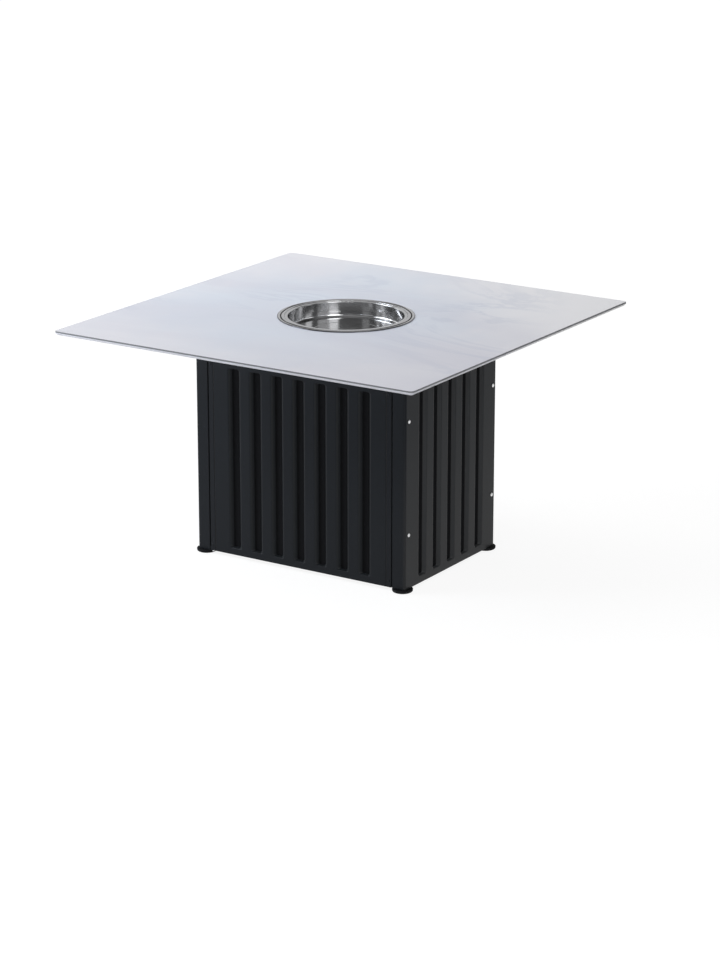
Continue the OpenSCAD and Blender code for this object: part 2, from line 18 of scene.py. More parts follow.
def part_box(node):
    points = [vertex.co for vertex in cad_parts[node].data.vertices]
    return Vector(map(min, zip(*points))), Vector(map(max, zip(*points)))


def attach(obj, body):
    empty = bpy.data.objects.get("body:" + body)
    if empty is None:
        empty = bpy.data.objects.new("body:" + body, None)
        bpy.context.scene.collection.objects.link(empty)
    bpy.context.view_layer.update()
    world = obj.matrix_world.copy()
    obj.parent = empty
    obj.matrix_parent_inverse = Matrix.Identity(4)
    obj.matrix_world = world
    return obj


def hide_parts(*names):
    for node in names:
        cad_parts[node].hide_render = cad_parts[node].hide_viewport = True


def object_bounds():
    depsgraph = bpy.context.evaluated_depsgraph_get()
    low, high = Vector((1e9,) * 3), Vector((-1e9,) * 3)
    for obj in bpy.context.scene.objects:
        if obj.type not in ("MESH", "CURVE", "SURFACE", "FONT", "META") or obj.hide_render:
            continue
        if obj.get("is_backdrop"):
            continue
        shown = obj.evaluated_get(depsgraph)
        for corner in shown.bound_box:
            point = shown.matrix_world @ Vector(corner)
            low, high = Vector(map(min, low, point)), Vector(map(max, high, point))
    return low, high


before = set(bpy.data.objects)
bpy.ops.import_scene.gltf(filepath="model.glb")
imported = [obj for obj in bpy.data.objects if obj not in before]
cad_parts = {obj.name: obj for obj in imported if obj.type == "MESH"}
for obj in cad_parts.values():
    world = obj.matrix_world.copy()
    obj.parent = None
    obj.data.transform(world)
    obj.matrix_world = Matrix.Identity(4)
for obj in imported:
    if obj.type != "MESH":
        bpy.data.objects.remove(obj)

Point = tuple[float, float, float]
Plane = tuple[float, float]
Range = tuple[float, float]
Colour = tuple[float, float, float]
Socket = bpy.types.NodeSocket
Vert = bmesh.types.BMVert

LOG = logging.getLogger("hotpot_table")
WHITE: Colour = (1.0, 1.0, 1.0)
NOISE_MEAN = 0.5

# A Mix node repeats its sockets' names for each type of data, so those for colours go by number
MIX_SHARE, MIX_FIRST, MIX_SECOND, MIX_RESULT = 0, 6, 7, 2

# A millimetre in metres, and the distance in millimetres within which vertices are joined
MM = 0.001
WELD = 0.002

# Eased edges of the frame's own nodes: the angle in degrees from which an edge counts, and their segments
EASE_ANGLE = 50.0
EASE_STEPS = 2

# How strongly large faces decide the normals of the edges round them, out of 100
FLAT_WEIGHT = 100


# Shader nodes


class Ray(Enum):
    """A kind of ray, by the name of its output on the Light Path node."""

    CAMERA = "Is Camera Ray"
    GLOSSY = "Is Glossy Ray"
    TRANSMISSION = "Is Transmission Ray"


@dataclass(frozen=True)
class Noise:
    """A cloudy noise between 0 and 1, with features to the metre and a stretch along each axis."""

    scale: float
    detail: float = 2.0
    roughness: float = 0.5
    distortion: float = 0.0
    stretch: Point | None = None


class Value:
    """A number that varies over a surface: one socket, with arithmetic that adds Math nodes."""

    def __init__(self, shader: "Shader", socket: Socket) -> None:
        """Wraps an output socket of a shader's tree."""
        self.shader = shader
        self.socket = socket

    def math(self, operation: str, *others: "Value | float") -> "Value":
        """Applies a Math node's operation to this value and any others."""
        return self.shader.math(operation, self, *others)

    def __add__(self, other: "Value | float") -> "Value":
        """self + other."""
        return self.math("ADD", other)

    __radd__ = __add__

    def __mul__(self, other: "Value | float") -> "Value":
        """self * other."""
        return self.math("MULTIPLY", other)

    __rmul__ = __mul__

    def __sub__(self, other: "Value | float") -> "Value":
        """self - other."""
        return self.math("SUBTRACT", other)

    def __rsub__(self, other: float) -> "Value":
        """other - self."""
        return self.shader.math("SUBTRACT", other, self)

    def __pow__(self, other: float) -> "Value":
        """self to the power of other."""
        return self.math("POWER", other)

    def __abs__(self) -> "Value":
        """The size of self without its sign."""
        return self.math("ABSOLUTE")

    def swing(self, amount: float) -> "Value":
        """Centres a noise on 0 and multiplies it by an amount."""
        return (self - NOISE_MEAN) * amount

    def smooth(self, low: float, high: float) -> "Value":
        """Turns self into a smooth step.

        Args:
            low: the number that gives 0.
            high: the number that gives 1; it may be the smaller of the two.

        Returns:
            The step, which stays at 0 or 1 beyond them.
        """
        inputs = {"Value": self, "From Min": low, "From Max": high}
        node = self.shader.add("ShaderNodeMapRange", {"interpolation_type": "SMOOTHSTEP"}, inputs)
        return Value(self.shader, node.outputs["Result"])


class Shader:
    """The node tree of one finish or of the world."""

    def __init__(self, tree: bpy.types.NodeTree) -> None:
        """Empties a tree so that it can be written."""
        self.tree = tree
        self.tree.nodes.clear()

    def add(self, kind: str, settings: dict | None = None, inputs: dict | None = None) -> bpy.types.Node:
        """Adds a node.

        Args:
            kind: the node's type.
            settings: its own settings, which are set first.
            inputs: values or links of its sockets, by name or by number.

        Returns:
            The new node.
        """
        node = self.tree.nodes.new(kind)
        for name, value in (settings or {}).items():
            setattr(node, name, value)
        for key, value in (inputs or {}).items():
            socket = node.inputs[key]
            if isinstance(value, Value):
                value = value.socket
            if isinstance(value, Socket):
                self.tree.links.new(value, socket)
            else:
                socket.default_value = value
        return node

    def math(self, operation: str, *operands: Value | float) -> Value:
        """Adds a Math node on values and numbers and gives its result."""
        node = self.add("ShaderNodeMath", {"operation": operation}, dict(enumerate(operands)))
        return Value(self, node.outputs[0])

    def place(self) -> Socket:
        """The place on the piece itself, in metres of the part's frame at rest."""
        return self.add("ShaderNodeTexCoord").outputs["Object"]

    def stretched(self, vector: Socket, scale: Point) -> Socket:
        """A vector times a scale along each axis."""
        node = self.add("ShaderNodeVectorMath", {"operation": "MULTIPLY"}, {0: vector, 1: scale})
        return node.outputs["Vector"]

    def axes(self, vector: Socket) -> tuple[Value, Value, Value]:
        """The three parts of a vector."""
        node = self.add("ShaderNodeSeparateXYZ", inputs={0: vector})
        return tuple(Value(self, output) for output in node.outputs)

    def vector(self, x: Value | float, y: Value | float, z: Value | float) -> Socket:
        """A vector made of three values."""
        return self.add("ShaderNodeCombineXYZ", inputs={0: x, 1: y, 2: z}).outputs[0]

    def rays(self, *kinds: Ray) -> Value:
        """Marks some kinds of ray.

        Args:
            kinds: the kinds.

        Returns:
            1 for a ray of one of these kinds, and 0 for any other.
        """
        path = self.add("ShaderNodeLightPath")
        seen, *others = [Value(self, path.outputs[kind.value]) for kind in kinds]
        for other in others:
            seen = seen.math("MAXIMUM", other)
        return seen

    def noise(self, place: Socket, noise: Noise) -> Value:
        """Reads a noise.

        Args:
            place: where it is read.
            noise: the noise.

        Returns:
            Its value.
        """
        if noise.stretch:
            place = self.stretched(place, noise.stretch)
        inputs = {"Vector": place, "Scale": noise.scale, "Detail": noise.detail}
        inputs |= {"Roughness": noise.roughness, "Distortion": noise.distortion}
        return Value(self, self.add("ShaderNodeTexNoise", inputs=inputs).outputs[0])

    def blend(self, share: Value, first: Colour | Socket, second: Colour | Socket) -> Socket:
        """Mixes two colours.

        Args:
            share: the second colour's share, from 0 to 1.
            first: the colour at share 0.
            second: the colour at share 1.

        Returns:
            The mixed colour.
        """
        first, second = [(*c, 1.0) if isinstance(c, tuple) else c for c in (first, second)]
        inputs = {MIX_SHARE: share, MIX_FIRST: first, MIX_SECOND: second}
        return self.add("ShaderNodeMix", {"data_type": "RGBA"}, inputs).outputs[MIX_RESULT]

    def bump(self, height: Value, depth: float) -> Socket:
        """The normal of a surface whose heights are in units of a depth in metres."""
        inputs = {"Height": height, "Distance": depth, "Strength": 1.0}
        return self.add("ShaderNodeBump", inputs=inputs).outputs[0]

    def principled(self, colour: Socket, roughness: Value, normal: Socket, metallic: float = 0.0,
                   gloss: float = 0.5) -> Socket:
        """Adds a Principled surface.

        Args:
            colour: its colour.
            roughness: its roughness.
            normal: its normal.
            metallic: 1 for bare metal, 0 for anything else.
            gloss: its specular level.

        Returns:
            The surface.
        """
        inputs = {"Base Color": colour, "Roughness": roughness, "Normal": normal}
        inputs |= {"Metallic": metallic, "Specular IOR Level": gloss}
        return self.add("ShaderNodeBsdfPrincipled", inputs=inputs).outputs[0]


def distance(x: Value, y: Value) -> Value:
    """The length of (x, y)."""
    return (x * x + y * y) ** 0.5


# Finishes


@dataclass(frozen=True)
class Finish:
    """A finish that pieces share: one material, written the first time it is asked for."""

    name: str

    def material(self) -> bpy.types.Material:
        """Finds or writes the finish's material.

        Returns:
            The material.
        """
        known = bpy.data.materials.get(self.name)
        if known is not None:
            return known
        made = bpy.data.materials.new(self.name)
        made.use_nodes = True
        shader = Shader(made.node_tree)
        surface = self.surface(shader)
        shader.add("ShaderNodeOutputMaterial", inputs={"Surface": surface})
        return made

    def surface(self, shader: Shader) -> Socket:
        """Writes the finish's nodes.

        Args:
            shader: the tree that they go into.

        Returns:
            The surface that they end in.
        """
        raise NotImplementedError


@dataclass(frozen=True)
class HonedStone(Finish):
    """Pale sintered stone: soft clouds, faint veins and a fine grain."""

    light: Colour = (0.74, 0.735, 0.77)
    # a cooler, darker painted shade round the pan
    cool_shade: Colour = (0.63, 0.68, 0.755)
    # the clouds' darker tone, also used for the painted shade towards the right and the front
    shade: Colour = (0.585, 0.585, 0.66)
    # painted light at the back right of the slab
    bright: Colour = (0.82, 0.815, 0.83)
    vein: Colour = (0.43, 0.47, 0.58)
    speck: Colour = (0.92, 0.93, 0.95)
    # the sawn edge's own dark colour, made darker still as painted shade, with its specks
    sawn_and_shaded: Colour = (0.13, 0.135, 0.145)
    sawn_and_shaded_speck: Colour = (0.20, 0.205, 0.215)
    clouds: Noise = Noise(1.9, detail=4.0, roughness=0.55, distortion=0.6, stretch=(0.55, 1.5, 1.0))
    cloud_range: Range = (0.66, 0.30)
    cloud_share: float = 0.5
    tints: Noise = Noise(5.0, detail=3.0, stretch=(1.2, 0.8, 1.0))
    cool_x: float = -0.1
    cool_reach: Range = (0.75, 0.25)
    cool_wander: float = 0.5
    # painted shade: the slab darkens towards the right and the front
    painted_falloff_slant: float = 0.6
    painted_falloff_reach: Range = (-0.3, 0.95)
    painted_falloff_share: float = 0.42
    # painted light: the slab brightens towards the back right
    painted_light_reach: Range = (0.35, 1.05)
    painted_light_wander: float = 0.4
    drifts: Noise = Noise(1.7, detail=5.0, roughness=0.6, distortion=1.4, stretch=(0.55, 1.5, 1.0))
    vein_width: float = 0.045
    vein_share: float = 0.34
    patches: Noise = Noise(1.3, detail=1.0)
    patch_range: Range = (0.42, 0.62)
    grains: Noise = Noise(900.0)
    grain_depth: float = 0.00004
    speck_share: float = 0.05
    speck_swing: float = 0.10
    roughness: float = 0.34
    cloud_roughness: float = 0.05
    grain_roughness: float = 0.08
    sawn_roughness: float = 0.2
    half_side: float = 0.6
    face_height: float = 0.712
    corner: float = 0.012
    edge_band: float = 0.0042
    band_blur: float = 0.0006
    edge_line: float = 0.0009
    line_blur: float = 0.0004

    def surface(self, shader: Shader) -> Socket:
        """Writes the stone's nodes.

        Args:
            shader: the tree that they go into.

        Returns:
            The surface that they end in.
        """
        place = shader.place()
        grain = shader.noise(place, self.grains)
        cloud = shader.noise(place, self.clouds)
        colour = self.veined(shader, place, self.clouded(shader, place, cloud))
        colour = shader.blend(grain.swing(self.speck_swing) + self.speck_share, colour, self.speck)
        # the sawn band and arris line, darkened partly by painted shade
        sawn_shaded_edge = self.mark_sawn_shaded_edge(shader, place)
        colour = shader.blend(sawn_shaded_edge, colour, shader.blend(grain, self.sawn_and_shaded, self.sawn_and_shaded_speck))
        rough = self.roughness + cloud.swing(self.cloud_roughness) + grain.swing(self.grain_roughness)
        return shader.principled(colour, rough + sawn_shaded_edge * self.sawn_roughness,
                                 shader.bump(grain, self.grain_depth))

    def clouded(self, shader: Shader, place: Socket, cloud: Value) -> Socket:
        """Lays the soft clouds, with a cool painted shade round the pan, painted shade towards the right and
        the front, and painted light at the back right.

        Args:
            shader: the finish's tree.
            place: the place on the slab.
            cloud: the clouds' noise.

        Returns:
            The clouded colour.
        """
        x, y, _ = shader.axes(place)
        tint = shader.noise(place, self.tints)
        # cool painted shade round the pan
        out = distance(x - self.cool_x, y) + tint.swing(self.cool_wander)
        pale = shader.blend(out.smooth(*self.cool_reach), self.light, self.cool_shade)
        # painted shade towards the right and the front
        painted_falloff = (x - self.painted_falloff_slant * y).smooth(*self.painted_falloff_reach)
        shaded = cloud.smooth(*self.cloud_range) * self.cloud_share + self.painted_falloff_share * painted_falloff
        # painted light at the back right
        across = x + y + tint.swing(self.painted_light_wander)
        return shader.blend(across.smooth(*self.painted_light_reach), shader.blend(shaded, pale, self.shade),
                            self.bright)

    def veined(self, shader: Shader, place: Socket, colour: Socket) -> Socket:
        """Draws the faint veins, in patches.

        Args:
            shader: the finish's tree.
            place: the place on the slab.
            colour: the colour under them.

        Returns:
            The veined colour.
        """
        line = abs(shader.noise(place, self.drifts) - NOISE_MEAN).smooth(self.vein_width, 0.0)
        patch = shader.noise(place, self.patches).smooth(*self.patch_range)
        return shader.blend(line * patch * self.vein_share, colour, self.vein)

    def mark_sawn_shaded_edge(self, shader: Shader, place: Socket) -> Value:
        """Marks the sawn band of the slab's sides and the line that it leaves along the upper arris, whose
        dark colour is partly the stone's own and partly painted shade.

        Args:
            shader: the finish's tree.
            place: the place on the slab.

        Returns:
            1 where the stone is sawn and darkened with painted shade, and 0 elsewhere.
        """
        x, y, z = shader.axes(place)
        flat = self.half_side - self.corner
        over_x, over_y = [(abs(along) - flat).math("MAXIMUM", 0.0) for along in (x, y)]
        foot = self.face_height - self.edge_band
        start = self.corner - self.edge_line
        band = z.smooth(foot - self.band_blur, foot)
        return distance(over_x, over_y).smooth(start - self.line_blur, start) * band


@dataclass(frozen=True)
class PowderCoat(Finish):
    """Baked powder paint: fine orange peel and a slightly uneven sheen."""

    colour: Colour = (0.0036, 0.0054, 0.0082)
    bloom: Colour = (0.0062, 0.0085, 0.0118)
    sheen: Noise = Noise(6.0, detail=3.0, stretch=(1.0, 1.0, 0.35))
    bloom_range: Range = (0.35, 0.75)
    bloom_share: float = 0.6
    peel: Noise = Noise(420.0, detail=1.5, roughness=0.4)
    fine: Noise = Noise(1302.0, detail=1.0)
    fine_share: float = 0.25
    peel_depth: float = 0.00005
    roughness: float = 0.40
    sheen_roughness: float = 0.10
    fine_roughness: float = 0.08
    gloss: float = 0.12

    def surface(self, shader: Shader) -> Socket:
        """Writes the paint's nodes.

        Args:
            shader: the tree that they go into.

        Returns:
            The surface that they end in.
        """
        place = shader.place()
        cloud = shader.noise(place, self.sheen)
        peel = shader.noise(place, self.peel)
        fine = shader.noise(place, self.fine)
        bloomed = cloud.smooth(*self.bloom_range) * self.bloom_share + self.fine_share * fine
        colour = shader.blend(bloomed, self.colour, self.bloom)
        rough = self.roughness + cloud.swing(self.sheen_roughness) + fine.swing(self.fine_roughness)
        colour, rough = self.on_sheet(shader, place, colour, rough)
        normal = shader.bump(peel + self.fine_share * fine, self.peel_depth)
        return shader.principled(colour, rough, normal, gloss=self.gloss)

    def on_sheet(self, shader: Shader, place: Socket, colour: Socket, rough: Value) -> tuple[Socket, Value]:
        """Leaves colour and roughness as they are: only fluted sheets differ from place to place."""
        return colour, rough


@dataclass(frozen=True)
class FlutedCoat(PowderCoat):
    """Powder paint on the fluted sheets, with painted light on the walls of the flutes, painted shade in
    their floors and painted light that grows towards the floor.
    """

    half_w: float = 0.36
    half_d: float = 0.25
    front_blur: float = 0.01
    corner_reach: Range = (0.012, 0.020)
    # painted light on the flutes' walls, stronger on the side sheets than on the front
    painted_wall_reach: Range = (0.0, 0.0010)
    front_wall: Colour = (0.0135, 0.0155, 0.0175)
    side_wall_painted_light: Colour = (0.0350, 0.0370, 0.0390)
    # painted shade in the floors of the flutes
    hollow_reach: Range = (0.0076, 0.0104)
    hollow_painted_shade: Colour = (0.0022, 0.0025, 0.0032)
    hollow_roughness: float = 0.82
    # painted light that makes the sheets lighter towards the floor, the sides more than the front
    painted_low_light: Colour = (0.0300, 0.0310, 0.0325)
    painted_light_heights: Range = (0.56, 0.05)
    front_painted_light: float = 0.21
    side_painted_light: float = 0.80

    def on_sheet(self, shader: Shader, place: Socket, colour: Socket, rough: Value) -> tuple[Socket, Value]:
        """Paints light and shade into the paint by the depth behind the faces and the height above the floor.

        Args:
            shader: the finish's tree.
            place: the place on the sheet.
            colour: the plain paint's colour.
            rough: the plain paint's roughness.

        Returns:
            The sheet's colour and roughness.
        """
        x, y, z = shader.axes(place)
        side = self.half_w - abs(x)
        front = self.half_d - abs(y)
        behind = side.math("MINIMUM", front)
        past_corner = side.math("MAXIMUM", front).smooth(*self.corner_reach)
        # painted light on the flutes' walls
        wall = behind.smooth(*self.painted_wall_reach) * past_corner
        # painted shade in the flutes' floors, which are also rougher
        hollow = behind.smooth(*self.hollow_reach)
        on_front = (side - front).smooth(0.0, self.front_blur)
        wall_painted_light = shader.blend(on_front, self.side_wall_painted_light, self.front_wall)
        # painted light towards the floor, stronger on the side sheets
        painted_light_share = self.side_painted_light + (self.front_painted_light - self.side_painted_light) * on_front
        colour = shader.blend(z.smooth(*self.painted_light_heights) * painted_light_share, colour, self.painted_low_light)
        colour = shader.blend(hollow, shader.blend(wall, colour, wall_painted_light), self.hollow_painted_shade)
        return colour, rough + hollow * (self.hollow_roughness - self.roughness)


@dataclass(frozen=True)
class SpunSteel(Finish):
    """Polished stainless steel with the fine rings that spinning and buffing leave."""

    colour: Colour = (0.655, 0.66, 0.67)
    dull: Colour = (0.51, 0.515, 0.525)
    dull_range: Range = (0.45, 0.85)
    dull_share: float = 0.5
    # painted shade on the pan's floor, uneven with the smears
    floor_painted_shade: Colour = (0.31, 0.31, 0.31)
    floor_heights: Range = (0.6745, 0.6705)
    floor_share: float = 0.75
    floor_swing: float = 0.5
    # painted shade on the ring's turned-down outer edge
    ring_edge_painted_shade: Colour = (0.16, 0.165, 0.18)
    ring_edge_shade_reach: Range = (0.1972, 0.1984)
    smears: Noise = Noise(14.0, detail=3.0, distortion=0.8)
    smear_range: Range = (0.4, 0.8)
    smear_roughness: float = 0.05
    rings: Noise = Noise(1400.0, detail=3.0, roughness=0.7)
    ring_roughness: float = 0.06
    ring_depth: float = 0.0000025
    bands: Noise = Noise(90.0)
    band_height: float = 4.0
    roughness: float = 0.11

    def surface(self, shader: Shader) -> Socket:
        """Writes the steel's nodes.

        Args:
            shader: the tree that they go into.

        Returns:
            The surface that they end in.
        """
        place = shader.place()
        x, y, z = shader.axes(place)
        radius = distance(x, y)
        along = shader.vector(radius, z, 0.0)
        ring = shader.noise(along, self.rings)
        band = shader.noise(along, self.bands)
        smear = shader.noise(place, self.smears)
        colour = shader.blend(smear.smooth(*self.dull_range) * self.dull_share, self.colour, self.dull)
        # painted shade on the pan's floor
        painted_floor_shade = z.smooth(*self.floor_heights) * (self.floor_share + smear.swing(self.floor_swing))
        colour = shader.blend(painted_floor_shade, colour, self.floor_painted_shade)
        # painted shade on the ring's outer edge
        colour = shader.blend(radius.smooth(*self.ring_edge_shade_reach), colour, self.ring_edge_painted_shade)
        smeared = self.smear_roughness * smear.smooth(*self.smear_range)
        rough = self.roughness + ring.swing(self.ring_roughness) + smeared
        normal = shader.bump(ring + self.band_height * band, self.ring_depth)
        return shader.principled(colour, rough, normal, metallic=1.0)


@dataclass(frozen=True)
class PlatedSteel(Finish):
    """Bright zinc-plated steel of screws, pins and stems."""

    colour: Colour = (0.88, 0.88, 0.87)
    dull: Colour = (0.66, 0.67, 0.68)
    spangles: Noise = Noise(260.0, detail=3.0)
    dull_range: Range = (0.35, 0.7)
    scratches: Noise = Noise(900.0, detail=1.0, stretch=(1.0, 1.0, 6.0))
    scratch_depth: float = 0.000012
    roughness: float = 0.30
    spangle_roughness: float = 0.16
    scratch_roughness: float = 0.08

    def surface(self, shader: Shader) -> Socket:
        """Writes the plating's nodes.

        Args:
            shader: the tree that they go into.

        Returns:
            The surface that they end in.
        """
        place = shader.place()
        spangle = shader.noise(place, self.spangles)
        scratch = shader.noise(place, self.scratches)
        colour = shader.blend(spangle.smooth(*self.dull_range), self.colour, self.dull)
        rough = self.roughness + spangle.swing(self.spangle_roughness)
        rough = rough + scratch.swing(self.scratch_roughness)
        return shader.principled(colour, rough, shader.bump(scratch, self.scratch_depth), metallic=1.0)


@dataclass(frozen=True)
class Moulded(Finish):
    """Moulded black plastic or rubber with a fine spark texture."""

    colour: Colour = (0.014, 0.014, 0.0145)
    worn: Colour = (0.028, 0.028, 0.028)
    clouds: Noise = Noise(35.0, detail=3.0)
    worn_range: Range = (0.4, 0.8)
    worn_share: float = 0.7
    grains: Noise = Noise(1300.0)
    grain_depth: float = 0.00005
    roughness: float = 0.55
    cloud_roughness: float = 0.10
    grain_roughness: float = 0.12
    gloss: float = 0.4

    def surface(self, shader: Shader) -> Socket:
        """Writes the moulding's nodes.

        Args:
            shader: the tree that they go into.

        Returns:
            The surface that they end in.
        """
        place = shader.place()
        grain = shader.noise(place, self.grains)
        cloud = shader.noise(place, self.clouds)
        colour = shader.blend(cloud.smooth(*self.worn_range) * self.worn_share, self.colour, self.worn)
        rough = self.roughness + cloud.swing(self.cloud_roughness) + grain.swing(self.grain_roughness)
        return shader.principled(colour, rough, shader.bump(grain, self.grain_depth), gloss=self.gloss)


STONE = HonedStone("honed_stone")
SHEET_PAINT = FlutedCoat("black_sheet_paint")
FRAME_PAINT = PowderCoat("black_frame_paint", colour=(0.009, 0.0093, 0.010), bloom=(0.016, 0.0163, 0.017),
                         peel=Noise(520.0, detail=1.5, roughness=0.4), fine=Noise(1612.0, detail=1.0),
                         peel_depth=0.00006, roughness=0.5, gloss=0.2)
STEEL = SpunSteel("spun_steel")
PLATED = PlatedSteel("plated_steel")
PLASTIC = Moulded("black_plastic")
FOOT_PLASTIC = Moulded("black_foot_plastic", colour=(0.0060, 0.0064, 0.0075), worn=(0.0100, 0.0102, 0.0110),
                       roughness=0.72, gloss=0.14)
RUBBER = Moulded("black_rubber", colour=(0.017, 0.0165, 0.016), worn=(0.034, 0.033, 0.032),
                 grains=Noise(700.0), grain_depth=0.00008, roughness=0.78, gloss=0.25)


# Lines and curves


def spread(low: float, high: float, count: int) -> list[float]:
    """Evenly spaced numbers from low to high, both included."""
    return [low + (high - low) * index / (count - 1) for index in range(count)]


def arc(centre: Plane, reach: Plane, start: float, end: float, steps: int) -> list[Plane]:
    """Points on an arc of a circle or oval, both ends included.

    Args:
        centre: its centre.
        reach: its radius along each axis.
        start: its first angle in degrees.
        end: its last angle in degrees.
        steps: segments along it.

    Returns:
        The points.
    """
    angles = [math.radians(a) for a in spread(start, end, steps + 1)]
    return [(centre[0] + reach[0] * math.cos(a), centre[1] + reach[1] * math.sin(a)) for a in angles]


def circle(radius: float, height: float, steps: int) -> list[Vector]:
    """Points of a level circle about the upright axis, anticlockwise from +X."""
    angles = [math.tau * k / steps for k in range(steps)]
    return [Vector((radius * math.cos(a), radius * math.sin(a), height)) for a in angles]


def round_rect(half_x: float, half_y: float, radius: float, steps: int) -> list[Plane]:
    """The outline of a centred rectangle with round corners, anticlockwise from its right side.

    Args:
        half_x: half its width.
        half_y: half its height.
        radius: radius of its corners.
        steps: segments round each corner.

    Returns:
        The points.
    """
    outline = []
    for sx, sy, start in ((1, 1, 0), (-1, 1, 90), (-1, -1, 180), (1, -1, 270)):
        centre = (sx * (half_x - radius), sy * (half_y - radius))
        outline += arc(centre, (radius, radius), start, start + 90, steps)
    return outline


def fillet(corner: Plane, before: Plane, after: Plane, radius: float, steps: int) -> list[Plane]:
    """Rounds one corner of a path.

    Args:
        corner: the sharp corner.
        before: a point on the side that arrives.
        after: a point on the side that leaves.
        radius: the round's radius.
        steps: segments round it.

    Returns:
        The points that replace the corner.
    """
    at, a, b = Vector(corner), Vector(before), Vector(after)
    u, v = (a - at).normalized(), (b - at).normalized()
    half = u.angle(v) / 2
    reach = radius / math.tan(half)
    centre = at + (u + v).normalized() * radius / math.sin(half)
    first, last = at + u * reach - centre, at + v * reach - centre
    turn = first.angle_signed(last)
    points = []
    for share in spread(0.0, 1.0, steps + 1):
        spun = Matrix.Rotation(-turn * share, 2) @ first
        points.append((centre.x + spun.x, centre.y + spun.y))
    return points


def rounded(path: Sequence[Point], closed: bool = False, steps: int = 4) -> list[Plane]:
    """A path of corners, each with its radius, as points with the corners rounded.

    Args:
        path: the corners as (x, y, radius); a radius of 0 keeps a corner sharp.
        closed: whether the last corner joins the first.
        steps: segments round each corner.

    Returns:
        The points.
    """
    points = []
    count = len(path)
    for index, (x, y, radius) in enumerate(path):
        end = not closed and index in (0, count - 1)
        if end or radius <= 0:
            points.append((x, y))
            continue
        before, after = path[index - 1], path[(index + 1) % count]
        points += fillet((x, y), before[:2], after[:2], radius, steps)
    return points


def toward(azimuth: float, elevation: float) -> Vector:
    """The direction from the table to something that stands round it.

    Args:
        azimuth: its angle in degrees to the right of straight in front of the door.
        elevation: its angle in degrees above the level.

    Returns:
        A vector of length 1.
    """
    a, e = math.radians(azimuth), math.radians(elevation)
    return Vector((math.sin(a) * math.cos(e), -math.cos(a) * math.cos(e), math.sin(e)))


# Forming meshes


def put(name: str, data: bpy.types.ID) -> bpy.types.Object:
    """Adds an object to the scene.

    Args:
        name: its name.
        data: its mesh, lamp or camera.

    Returns:
        The object.
    """
    thing = bpy.data.objects.new(name, data)
    bpy.context.scene.collection.objects.link(thing)
    return thing


